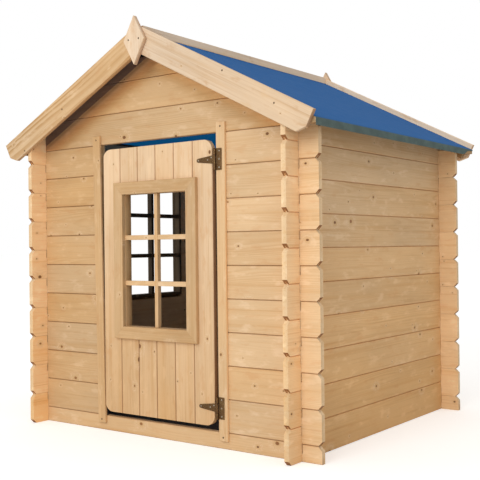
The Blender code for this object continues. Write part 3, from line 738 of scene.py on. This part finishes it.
def side_wall(side, place):
    for course in range(COURSES):
        low = course * PITCH
        top = course == COURSES - 1
        high = SIDE_TOP if top else low + PITCH - JOINT
        number = f"board_{course + 1:02d}"
        base, warmth, figure = SIDE_TONE
        tone = (base, warmth + 0.58 - 0.115 * course, figure)  # warmer near the ground
        end = log_end(END_Y, WALL_Y, low, high)
        if top:
            step, inner, outer = low + PITCH - NOTCH, WALL_Y - BOARD - PLAY, WALL_Y + PLAY
            end = log_end(END_Y, WALL_Y, low, high, top=(False, False))[:-1]
            end += [(END_Y, STUB_TOP), (RAFTER_INNER - GAP, STUB_TOP), (RAFTER_INNER - GAP, high)]
            end += [(outer, high), (outer, step), (inner, step), (inner, high)]
        if side == "left" and 4 <= course < 9:
            reach = SIDE_WINDOW_HALF_WIDTH + LINER
            front = plain_end(SIDE_WINDOW_Y - reach, low, high)
            rear = plain_end(-SIDE_WINDOW_Y - reach, low, high)
            for part, ends in (("front", (end, front)), ("rear", (rear, end))):
                node = f"left_{part}_boards"
                wall_board(f"left_{part}_{number}", node, place, *ends, low, high, tone)
            continue
        name = node = f"{side}_{number}"
        under_window = side == "left" and course == 3
        if side == "left":
            node = "left_top_board" if top else "left_lower_boards"
        tongue = not (top or under_window)
        wall_board(name, node, place, end, end, low, high, tone, tongue=tongue, groove=course > 0)


# Painted shade: the boards left of the doorway are darker and warmer than those right of it, for light
# falling from the right
half_step_wall(FRONT, "front_board_00", "front_sill_board", False, SLACK, (
    ("front_left", ("front_left_boards",) * 2, (None, JAMB_LEFT), (0.90, 0.54, 0.34)),
    ("front_right", ("front_right_boards",) * 2, (-JAMB_RIGHT, None), (1.03, 0.12, 0.28)),
))
half_step_wall(REAR, "rear_board_00", "rear_lower_boards", True, REAR_SLACK, (
    ("rear", ("rear_lower_boards", "rear_upper_boards"), (None, None), FRONT_TONE),
))
gable(("front_lintel_board", "front_gable_board_1", "front_gable_board_2"), FRONT, (0.94, 0.33, 0.50))
gable(("rear_gable_board_1", "rear_gable_board_2", "rear_gable_board_3"), REAR, FRONT_TONE)
side_wall("right", RIGHT)
side_wall("left", LEFT)


# ---------------------------------------------------------------- door and windows

def plank_look(point):
    """Paler towards the top; brown in the V joints and on the hinge edge."""
    height = (point.x - DOOR_BOTTOM) / (DOOR_TOP - DOOR_BOTTOM)
    hinge_edge = DOOR_X + PLANKS * PLANK_WIDTH / 2 - 0.0005
    brown = in_joint(point, PLANK_V_EDGE) or point.y > hinge_edge
    return 0.90 + 0.15 * height, 0.60 - 0.82 * height, 0.75 if brown else 0.0


def door_planks():
    left = DOOR_X - PLANKS * PLANK_WIDTH / 2
    reach = WINDOW_HALF_WIDTH + LINER
    hole_low, hole_high = DOOR_X - reach, DOOR_X + reach
    z_low, z_high = DOOR_WINDOW_Z[0] - LINER, DOOR_WINDOW_Z[1] + LINER
    quarter, corner = math.pi / 2, DOOR_CORNER

    def rounded(x, z, turns):
        """A round corner about a point, from the quarter turn given."""
        return corner_arc((x, z), corner, quarter * turns, quarter * (turns + 1))

    near_bottom, near_top = DOOR_BOTTOM + corner, DOOR_TOP - corner
    for number in range(PLANKS):
        first, last = number == 0, number == PLANKS - 1
        low = left + number * PLANK_WIDTH
        high = low + PLANK_WIDTH - (0 if last else JOINT)
        past = high if last else high + TONGUE
        whole = box_outline(DOOR_BOTTOM, DOOR_TOP, low, past)
        outlines = {"": whole}
        if first:
            arcs = rounded(near_bottom, low + corner, 2) + rounded(near_top, low + corner, -1)
            outlines = {"": arcs + whole[2:]}
        if last:
            arcs = rounded(near_top, high - corner, 0) + rounded(near_bottom, high - corner, 1)
            outlines = {"": whole[:2] + arcs}
        if number == 1:
            notch = [(z_high, past), (z_high, hole_low), (z_low, hole_low), (z_low, past)]
            outlines = {"": whole[:3] + notch + whole[3:]}
        if number in (2, 3):
            outlines = {
                "_lower": box_outline(DOOR_BOTTOM, z_low, low, past),
                "_upper": box_outline(z_high, DOOR_TOP, low, past),
            }
        if number == 4:
            notch = [(z_low, low), (z_low, hole_high), (z_high, hole_high), (z_high, low)]
            outlines = {"": whole[:1] + notch + whole[1:]}
        for part, outline in outlines.items():
            name = f"door_plank_{number + 1}{part}"
            profile = board_profile(low, high, tongue=not last, groove=not first, edge=PLANK_V_EDGE)
            form = profiled(profile, outline)
            attach(form, name, DOOR @ SWAP, "door", name, (DOOR_WOOD, WOOD_END), DOOR_TONE, look=plank_look)


def door_ledges():
    half, tall = PLANKS * PLANK_WIDTH / 2 - LEDGE_INSET, LEDGE_HEIGHT / 2
    place = frame_at((0, -DOOR_FACE + BOARD + GAP, 0), X, Z, Y)
    for name, middle in (("door_ledge_upper", UPPER_HINGE_Z), ("door_ledge_lower", LOWER_HINGE_Z)):
        outline = box_outline(DOOR_X - half, DOOR_X + half, middle - tall, middle + tall)
        lath(name, name, place, outline, LEDGE, "door", SIDE_TONE, out=LEDGE)


def mitred(line, out, low, high):
    """A trim member along u from low to high, v from line to line + out, with mitres at both ends."""
    wide, seam = abs(out), 0.0002
    outline = [(low, line), (high, line), (high + wide, line + out), (low - wide, line + out)]
    centre = sum((Vector(point) for point in outline), Vector((0, 0))) / len(outline)
    return [Vector(point) + (centre - Vector(point)).normalized() * seam for point in outline]


def window(prefix, level, clear, body, liner_depth, bar_depth, tone):
    """A mitred trim on the boards, a frame that lines the opening, and the glazing bars.

    level is a place with u to the right, v up and w out of the boards' outer face.
    """
    u_low, u_high, v_low, v_high = clear
    trim_node, grid_node = prefix + "_trim", prefix + "_grid"
    upright = level @ SWAP
    face = GAP + TRIM
    # Each trim member's gain is painted shade, the top one darkest
    for side, place, line, out, low, high, gain, warmer in (
        ("top", level, v_high, TRIM_WIDTH, u_low, u_high, 0.79, 0.40),
        ("bottom", level, v_low, -TRIM_WIDTH, u_low, u_high, 0.82, 0.40),
        ("left", upright, u_low, -TRIM_WIDTH, v_low, v_high, 0.82, 0.32),
        ("right", upright, u_high, TRIM_WIDTH, v_low, v_high, 0.83, 0.35),
    ):
        form = prism(mitred(line, out, low, high), GAP, face)
        long_edges = [
            edge for edge in form.edges
            if all(abs(vert.co.z - face) < 1e-6 for vert in edge.verts)
            and abs(edge.verts[0].co.y - edge.verts[1].co.y) < 1e-6
        ]
        bmesh.ops.bevel(form, geom=long_edges, offset=0.0022, segments=3, profile=0.5, affect="EDGES")
        own_tone = (tone[0] * gain, tone[1] + warmer, tone[2])
        # Painted shade: the door trim darkens towards the back, and the house trim's inner edges that face
        # the room are dark
        look = shaded_back(face, TRIM + 0.001, 0.12)
        if body == "house":
            look = backlit(lambda point: abs(point.y - line) < 0.0006 and point.z < face - 0.001)
        attach(form, f"{prefix}_trim_{side}", place, body, trim_node, TIMBER, own_tone, look=look)

    # The liner stands just inside the opening, its edge level with the trim's inner edge
    lining = LINER - GAP
    # Painted shade: the house window's liner is dark; the door's liner has painted shade behind the boards
    # and painted light in front
    liner_tone, liner_look = (0.20, 0.20, 0.35), None
    if body == "door":
        liner_tone = (1.0, 0.55, 0.35)
        liner_look = lambda point: (0.62, 0.25, 0.2) if point.z < -BOARD else (1.12, 0.0, 0.0)
    for side, place, outline in (
        ("left", upright, box_outline(v_low - lining, v_high + lining, u_low - lining, u_low)),
        ("right", upright, box_outline(v_low - lining, v_high + lining, u_high, u_high + lining)),
        ("top", level, box_outline(u_low, u_high, v_high, v_high + lining)),
        ("bottom", level, box_outline(u_low, u_high, v_low - lining, v_low)),
    ):
        name = f"{prefix}_liner_{side}"
        depth = liner_depth - GAP
        lath(name, grid_node, place, outline, depth, body, liner_tone, 0.0007, -GAP, look=liner_look)

    # The bars meet end to end; the cross bars stand a little behind the upright one
    set_back, touch = 0.0006, 0.0001
    # Painted shade on the bar sides that face the room, in the house window
    look = backlit(lambda point: point.z < -GAP - set_back) if body == "house" else None
    middle = (u_low + u_high) / 2
    bar_low, bar_high = middle - BAR_WIDTH / 2, middle + BAR_WIDTH / 2
    outline = box_outline(v_low + touch, v_high - touch, bar_low, bar_high)
    thick = bar_depth - GAP
    lath(f"{prefix}_bar_upright", grid_node, upright, outline, thick, body, tone, 0.0010, -GAP, look=look)
    pane = (v_high - v_low - 2 * BAR_HEIGHT) / 3
    for step, row in ((1, "lower"), (2, "upper")):
        bottom = v_low + step * pane + (step - 1) * BAR_HEIGHT
        for side, low, high in (("left", u_low, bar_low), ("right", bar_high, u_high)):
            outline = box_outline(low + touch, high - touch, bottom, bottom + BAR_HEIGHT)
            lath(
                f"{prefix}_bar_{row}_{side}", grid_node, level, outline, thick - set_back,
                body, tone, 0.0010, -GAP - set_back, look=look,
            )


door_planks()
door_ledges()
window(
    "door_window", DOOR,
    (DOOR_X - WINDOW_HALF_WIDTH, DOOR_X + WINDOW_HALF_WIDTH, *DOOR_WINDOW_Z),
    "door", BOARD + LEDGE, BOARD, DOOR_TONE,
)
window(
    "left_window", frame_at((-WALL_X, 0, 0), -Y, Z, -X),
    (-SIDE_WINDOW_Y - SIDE_WINDOW_HALF_WIDTH, -SIDE_WINDOW_Y + SIDE_WINDOW_HALF_WIDTH, *SIDE_WINDOW_Z),
    "house", SIDE_LINER_DEPTH, SIDE_BAR_DEPTH, SIDE_TONE,
)


CASING_LENGTH, CASING_MIDDLE = CASING_TOP - CASING_BOTTOM, (CASING_TOP + CASING_BOTTOM) / 2
LEFT_CASING_X = JAMB_LEFT - CASING_WIDTH / 2 - 0.001 + math.sin(CASING_LEAN) * CASING_LENGTH / 2
# Battens beside the doorway: name, place of the middle, lean and tone
CASINGS = (
    ("door_casing_left", LEFT_CASING_X, CASING_LEAN, (0.95, 0.28, 0.40)),
    ("door_casing_right", JAMB_RIGHT + CASING_WIDTH / 2, 0.0, (1.00, 0.0, 0.35)),
)


def casings():
    half = CASING_WIDTH / 2
    # Painted light: the right side face of each batten is paler and less warm
    look = lambda point: (1.25, -0.2, 0.0) if point.y > half - 0.0004 else CLEAN
    for name, x, lean, tone in CASINGS:
        turn = Matrix.Rotation(-lean, 4, "Y")
        place = Matrix.Translation((x, -WALL_Y - GAP, CASING_MIDDLE)) @ turn @ frame_at(u=Z, v=X, w=-Y)
        outline = box_outline(-CASING_LENGTH / 2, CASING_LENGTH / 2, -half, half)
        lath(name, name, place, outline, CASING, tone=tone, edge=0.0014, out=CASING, look=look)


casings()


# ---------------------------------------------------------------- roof

def run_along_y(name, section, reach, tone, materials=TIMBER):
    """A length of timber along Y with this section in X and Z."""
    form = prism(section, -reach, reach)
    soften(form, 0.0010)
    attach(moved(form, RUN), name, frame_at(u=Y, v=X), "house", name, materials, tone)


def on_slope(side, y, z):
    """A place with u down the roof's slope, v out of it and w out of the gable at y."""
    down = Vector((side * math.cos(ROOF_SLOPE), 0, -math.sin(ROOF_SLOPE)))
    across = Vector((side * math.sin(ROOF_SLOPE), 0, math.cos(ROOF_SLOPE)))
    return frame_at((0, y, z), down, across, Y if y > 0 else -Y)


HANDS = (("left", -1), ("right", 1))
GABLES = (("front", -1), ("rear", 1))


def roof_timbers():
    # Painted shade: rafters and eave battens are darker than the other timber, for the shade under the sheet
    foot, seam = (EAVE_X - 0.0225) / math.cos(ROOF_SLOPE), 0.0003
    outline = [(seam, 0), (foot, 0), (foot, -RAFTER_DEPTH), (seam + SLOPE * RAFTER_DEPTH, -RAFTER_DEPTH)]
    for end, way in GABLES:
        for hand, side in HANDS:
            place = on_slope(side, way * RAFTER_OUTER, under_sheet(0))
            lath(f"{end}_rafter_{hand}", f"{end}_rafter_pair", place, outline, RAFTER, tone=(0.60, 0.8, 0.3))
    half = BEAM_WIDTH / 2
    section = [(-half, BEAM_BOTTOM), (half, BEAM_BOTTOM)]
    section += [(x, under_sheet(x)) for x in (half, 0, -half)]
    run_along_y("ridge_beam", section, RAFTER_INNER - GAP, SIDE_TONE)
    for hand, side in HANDS:
        inner, outer = side * (EAVE_X - 0.022), side * (EAVE_X - 0.0015 - 2 * GAP)
        bottom = HEM_BOTTOM + (0.008 if side > 0 else 0.013)
        section = [(inner, bottom), (outer, bottom), (outer, under_sheet(outer)), (inner, under_sheet(inner))]
        run_along_y(f"{hand}_eave_batten", section, RAFTER_OUTER - GAP, (0.62, 0.75, 0.30))
    half, low = CAP_WIDTH / 2, SHEET_APEX + GAP
    side = low - SLOPE * half
    section = [(-half, side), (0, low), (half, side), (half, CAP_TOP), (-half, CAP_TOP)]
    run_along_y("ridge_cap", section, RAFTER_OUTER - GAP, (1.06, 0.10, 0.35), WHITE_TIMBER)


BARGE_LOOKS = {
    "front_left": ((0.97, 0.45, 1.60), TIMBER), "front_right": ((0.88, 0.0, 0.22), WHITE_TIMBER),
    "rear_left": ((1.0, 0.1, 0.40), WHITE_TIMBER), "rear_right": ((1.08, 0.0, 0.30), WHITE_TIMBER),
}


def barge_and_finials():
    length, seam = BARGE_END_X / math.cos(ROOF_SLOPE), 0.0002
    board = [
        (seam, 0), (length, 0), (length, -(BARGE_WIDTH - BARGE_CHAMFER)),
        (length - BARGE_CHAMFER, -BARGE_WIDTH), (seam + SLOPE * BARGE_WIDTH, -BARGE_WIDTH),
    ]
    tall, wide = FINIAL_HALF_HEIGHT, FINIAL_HALF_WIDTH
    for end, way in GABLES:
        for hand, side in HANDS:
            name = f"{end}_{hand}_bargeboard"
            place = on_slope(side, way * BARGE_Y, BARGE_APEX)
            tone, materials = BARGE_LOOKS[f"{end}_{hand}"]
            # Painted shade on the back edges of the front bargeboards
            look = shaded_back(0, BARGE, 0.40) if way < 0 else None
            lath(name, name, place, board, BARGE, tone=tone, edge=0.0014, materials=materials, look=look)
        name = f"{end}_finial"
        place = frame_at((0, way * (BARGE_Y + GAP), FINIAL_Z), Z, X, Y * way)
        # The finials get painted shade on their back edges
        lath(
            name, name, place, [(-tall, 0), (0, -wide), (tall, 0), (0, wide)], BARGE, tone=(0.98, 0.10, 0.45),
            out=BARGE, materials=WHITE_TIMBER, look=shaded_back(BARGE, BARGE, 0.6),
        )


FOLD_DROP = 0.0045  # the sheet turns down at the eave within this height
HEM_TUCK = 0.085  # the hem is folded under from here to the front left and rear right corners
HEM_TUCKED = 0.040  # and steepest over this length
SAG, SAG_START, SAG_END, SAG_Y = 0.0055, 0.018, 0.548, 0.488  # between ridge beam, walls and gables


def sheet_path():
    """Section of the sheet's upper side from the left hem to the right one, as points in X and Z."""
    eave_z = SHEET_APEX - SLOPE * EAVE_X
    steps = 40
    xs = [(EAVE_X - 0.003) * step / steps for step in range(steps + 1)]
    half = [(x, SHEET_APEX - SLOPE * x) for x in xs]
    half += [(EAVE_X - 0.0006, eave_z - 0.0016), (EAVE_X, eave_z - FOLD_DROP), (EAVE_X, eave_z - 0.012)]
    left = [(-EAVE_X, HEM_BOTTOM + 0.008)] + [(-x, z) for x, z in reversed(half[1:])]
    return left + half + [(EAVE_X, HEM_BOTTOM)]


def sag_at(x, y):
    """How far the stretched sheet hangs down between its supports."""
    inside_x = clamped(math.sin(math.pi * clamped((abs(x) - SAG_START) / (SAG_END - SAG_START))))
    inside_y = clamped(math.cos(math.pi / 2 * clamped(abs(y) / SAG_Y)))
    sag = SAG * inside_x * inside_y ** 0.5 if abs(x) > SAG_START else 0.0
    ripple = 0.0010 * noise.noise(Vector((x * 5.0, y * 7.0, 0.3))) * inside_x * inside_y
    return sag + abs(ripple)


def roof_sheet():
    """A tarpaulin stretched over ridge, gables and eaves; it sags a little where nothing is under it.

    Rows run from front to rear, and a folded row's hem starts from the one before it: the right hem
    is folded away at its rear corner, and the left one, which starts folded, all along.
    """
    path = sheet_path()
    reach = RAFTER_OUTER - GAP
    rows, last = 44, len(path) - 1
    fold = SHEET_APEX - SLOPE * EAVE_X - FOLD_DROP
    lengths = [0.0]
    for before, after in zip(path, path[1:]):
        lengths.append(lengths[-1] + math.dist(before, after))
    form = bmesh.new()
    grid, grain, lower = [], {}, {}
    for at, (x, z) in enumerate(path):
        on_hem = 1.0 if at < 4 or at > last - 4 else 0.0
        line = []
        for row in range(rows + 1):
            along = 2 * reach * row / rows
            y = along - reach
            if z < fold:
                corner = ((reach - y if x > 0 else reach + y) - HEM_TUCKED) / (HEM_TUCK - HEM_TUCKED)
                z = fold + (z - fold) * clamped(corner, 0.10)
            line.append(form.verts.new((x, y, z - sag_at(x, y))))
            grain[line[-1]] = (lengths[at], along, on_hem)
        grid.append(line)
    for line, after in zip(grid, grid[1:]):
        for row in range(rows):
            form.faces.new((line[row], after[row], after[row + 1], line[row + 1]))
    bmesh.ops.recalc_face_normals(form, faces=form.faces)
    if sum(face.normal.z for face in form.faces) < 0:
        bmesh.ops.reverse_faces(form, faces=form.faces)
    for vert in list(form.verts):
        lower[vert] = form.verts.new(vert.co - vert.normal * SHEET)
        grain[lower[vert]] = grain[vert]
    for face in list(form.faces):
        below = form.faces.new([lower[vert] for vert in reversed(face.verts)])
        # The underside over the room takes the glowing material; over the eaves and near the peaks it takes
        # the painted-shade one
        middle = face.calc_center_median()
        over_room = abs(middle.x) < WALL_X - BOARD and abs(middle.y) < WALL_Y - BOARD
        at_peak = abs(middle.x) < 0.13 and abs(middle.y) > 0.33
        below.material_index = 1 if over_room and not at_peak else 2
    for edge in [edge for edge in form.edges if edge.is_boundary and all(v in lower for v in edge.verts)]:
        a, b = edge.verts
        form.faces.new((a, b, lower[b], lower[a]))
    bmesh.ops.recalc_face_normals(form, faces=form.faces)
    form.verts.index_update()
    values = [grain[vert] for vert in form.verts]
    for face in form.faces:
        face.smooth = True
    mesh = to_mesh(form, "roof_sheet_cloth")
    store(mesh, "grain", "FLOAT_VECTOR", values)
    for material in (TARPAULIN, UNDERSIDE, OVERHANG_PAINTED_SHADE):
        mesh.materials.append(material)
    mesh.set_sharp_from_angle(angle=math.radians(50))
    obj = in_scene("roof_sheet_cloth", mesh)
    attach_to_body(obj, "house")
    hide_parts("roof_sheet")


roof_timbers()
barge_and_finials()
roof_sheet()


# ---------------------------------------------------------------- hinges and screws

def disc(form, axis, radius, low, high, segments=24, dome=0.0, centre=(0, 0, 0)):
    """Adds a round, slightly domed slug along an axis to a form."""
    turn = Vector(axis).to_track_quat("Z", "Y").to_matrix().to_4x4()
    matrix = Matrix.Translation(centre) @ turn
    rings = [(0.0, low), (radius, low), (radius, high - dome)]
    if dome:
        rings += [(radius * 0.86, high - dome * 0.35), (radius * 0.5, high - dome * 0.05)]
    rings.append((0.0, high))
    made = []
    for r, h in rings:
        count = segments if r else 1
        turns = [2 * math.pi * step / segments for step in range(count)]
        made.append([form.verts.new(matrix @ Vector((r * math.cos(t), r * math.sin(t), h))) for t in turns])
    for below, above in zip(made, made[1:]):
        for at in range(segments):
            after = (at + 1) % segments
            ring = [(below, at), (below, after), (above, after), (above, at)]
            form.faces.new(list(dict.fromkeys(verts[step % len(verts)] for verts, step in ring)))


def attach_metal(form, name, origin, body, node, material, slot=None):
    attach(form, name, frame_at(origin), body, node, [material], slot=slot, smooth=35, shift=(0, 0, 0))


def screws(name, points, axis, radius, body, slot, material):
    """Countersunk heads with a cross recess, level with the surface at each point."""
    axis, sunk, deep = Vector(axis), 0.0002, 0.0010
    arm, slit = radius * 0.62, radius * 0.15
    side = axis.cross(Z) if abs(axis.z) < 0.9 else X
    side.normalize()
    up = axis.cross(side)
    form, recess = bmesh.new(), bmesh.new()
    for at, point in enumerate(points):
        disc(form, axis, radius, -0.0012, sunk + 0.0003, dome=0.0003, centre=point)
        spin = own_random(f"{name}{at}").uniform(0, math.pi / 2)
        first = math.cos(spin) * side + math.sin(spin) * up
        second = axis.cross(first)
        star = []
        for a, b in ((first, second), (second, -first), (-first, -second), (-second, first)):
            star += [a * arm - b * slit, a * arm + b * slit, a * slit + b * slit]
        centre = Vector(point)
        low = [recess.verts.new(centre + p * 0.55 + axis * (sunk - deep)) for p in star]
        high = [recess.verts.new(centre + p + axis * (sunk + 0.001)) for p in star]
        close_between(recess, low, high)
    for made in (form, recess):
        bmesh.ops.recalc_face_normals(made, faces=made.faces)
    attach_metal(combined(form, recess, "DIFFERENCE"), name, (0, 0, 0), body, None, material, slot)


def rolled_plate(name, node, outline, knuckles, origin, body):
    """A hinge plate with its knuckles, in X and Z about the pin; the plate lies against the wood."""
    back, front = -HINGE_BARREL, -(HINGE_BARREL - HINGE_PLATE)
    plate = moved(prism(outline, back, front), STAND)
    soften(plate, 0.0004)
    side = 1 if outline[1][0] > 0 else -1
    for low, high in knuckles:
        barrel = bmesh.new()
        disc(barrel, Z, HINGE_BARREL, low, high, segments=28)
        near, far = sorted((side * 0.0004, side * (HINGE_BARREL + 0.003)))
        tab = moved(prism(box_outline(near, far, low, high), back + 0.00005, front), STAND)
        plate = combined(combined(plate, tab, "UNION"), barrel, "UNION")
    bore = bmesh.new()
    disc(bore, Z, HINGE_PIN + 0.0001, -0.05, 0.05, segments=28)
    attach_metal(combined(plate, bore, "DIFFERENCE"), name, origin, body, node, BRONZE)


def rounded_box(low, high, bottom, top, radius, steps=4):
    centres = ((high, top), (low, top), (low, bottom), (high, bottom))
    points = []
    for turn, (x, z) in enumerate(centres):
        centre = (x - radius if x == high else x + radius, z - radius if z == top else z + radius)
        start = math.pi / 2 * turn
        points += corner_arc(centre, radius, start, start + math.pi / 2, steps)
    return points


def hinge(name, z):
    half, knuckle, base = LEAF_HEIGHT / 2, STRAP_KNUCKLE / 2, STRAP_BASE / 2
    origin = (HINGE_X, HINGE_Y, z)
    start = HINGE_BARREL + 0.0012
    leaf = rounded_box(start, LEAF_WIDTH, -half, half, 0.0015)
    knuckles = [(-half, -knuckle - GAP), (knuckle + GAP, half)]
    rolled_plate(name + "_leaf_plate", name + "_leaf", leaf, knuckles, origin, "house")
    strap = [(-start, -base), (-start, base), (-start - 0.006, base - 0.0008)]
    strap += corner_arc((STRAP_TIP - STRAP_LENGTH, 0), STRAP_TIP, math.pi / 2, 3 * math.pi / 2, 12)
    strap += [(-start - 0.006, -base + 0.0008)]
    knuckles = [(-knuckle + GAP, knuckle - GAP)]
    rolled_plate(name + "_strap_plate", name + "_strap", strap, knuckles, origin, "door")
    pin = bmesh.new()
    disc(pin, Z, HINGE_PIN, -half - 0.0004, half + 0.0004, segments=20)
    for way in (Z, -Z):
        disc(pin, way, HINGE_PIN * 1.7, half + 0.0003, half + 0.0010, segments=20, dome=0.0006)
    attach_metal(pin, name + "_pin_rod", origin, "house", name + "_pin", BRONZE)
    face = HINGE_Y + HINGE_BARREL - HINGE_PLATE
    leaf_x = HINGE_X + (start + LEAF_WIDTH) / 2
    points = [(leaf_x, face, z + step * 0.026) for step in (-1, 0, 1)]
    screws(name + "_leaf_screws", points, -Y, 0.0026, "house", name + "_leaf", ZINC)
    places = ((start + 0.0105, 0.0065), (start + 0.0245, 0.0), (STRAP_LENGTH - 0.0075, 0.0))
    points = [(HINGE_X - out, face, z + above) for out, above in places]
    screws(name + "_strap_screws", points, -Y, 0.0024, "door", name + "_strap", ZINC)


hinge("upper_hinge", UPPER_HINGE_Z)
hinge("lower_hinge", LOWER_HINGE_Z)


# Screws in a bargeboard: distance from the peak and from the upper edge
BARGE_SCREWS = {
    "front_left": ((0.431, 0.048), (0.670, 0.072)),
    "front_right": ((0.400, 0.014), (0.622, 0.034)),
    "rear": ((0.415, 0.031), (0.645, 0.052)),
}


def wood_screws():
    radius = 0.0030
    face = -WALL_Y - GAP - CASING
    for name, x, lean, _ in CASINGS:
        heights = (CASING_TOP - 0.014, CASING_BOTTOM + 0.012)
        points = [(x - math.sin(lean) * (z - CASING_MIDDLE), face, z) for z in heights]
        screws(name + "_screws", points, -Y, radius, "house", name, DARK_STEEL)
    for end, way in GABLES:
        y = way * (BARGE_Y + GAP + BARGE)
        points = [(side * 0.0225, y, FINIAL_Z + 0.002) for side in (-1, 1)]
        screws(f"{end}_finial_screws", points, Y * way, radius, "house", f"{end}_finial", DARK_STEEL)
        for hand, side in HANDS:
            board = on_slope(side, way * BARGE_Y, BARGE_APEX)
            places = BARGE_SCREWS.get(f"{end}_{hand}", BARGE_SCREWS["rear"])
            points = [board @ Vector((along, -below, 0)) for along, below in places]
            name = f"{end}_{hand}_bargeboard"
            screws(name + "_screws", points, Y * way, radius, "house", name, DARK_STEEL)


wood_screws()


# ---------------------------------------------------------------- floor

def floor():
    """Pale outside the house; inside it, dark ground as painted shade."""
    g = Graph("pale_floor")
    place = g.node("TexCoord", output="Object")
    x, y, _ = g.split(place)
    outside = g.math(
        "MAXIMUM",
        g.math("GREATER_THAN", g.math("ABSOLUTE", x), WALL_X - BOARD / 2),
        g.math("GREATER_THAN", g.math("ABSOLUTE", y), WALL_Y - BOARD / 2),
    )
    pale = g.mix(g.noise(place, scale=2.0), (0.80, 0.80, 0.795), (0.83, 0.83, 0.825))
    # Painted shade: the ground inside the footprint is dark brown
    colour = g.mix(outside, (0.170, 0.140, 0.115), pale)
    glow = g.node("LightPath", output="Is Camera Ray") * 0.42 * outside
    material = g.finish(
        Base_Color=colour, Roughness=0.9, Specular_IOR_Level=0.1,
        Emission_Color=(1.0, 1.0, 1.0), Emission_Strength=glow,
    )
    form = bmesh.new()
    bmesh.ops.create_circle(form, cap_ends=True, segments=96, radius=60.0)
    mesh = to_mesh(form, "floor")
    mesh.materials.append(material)
    in_scene("floor", mesh)


floor()
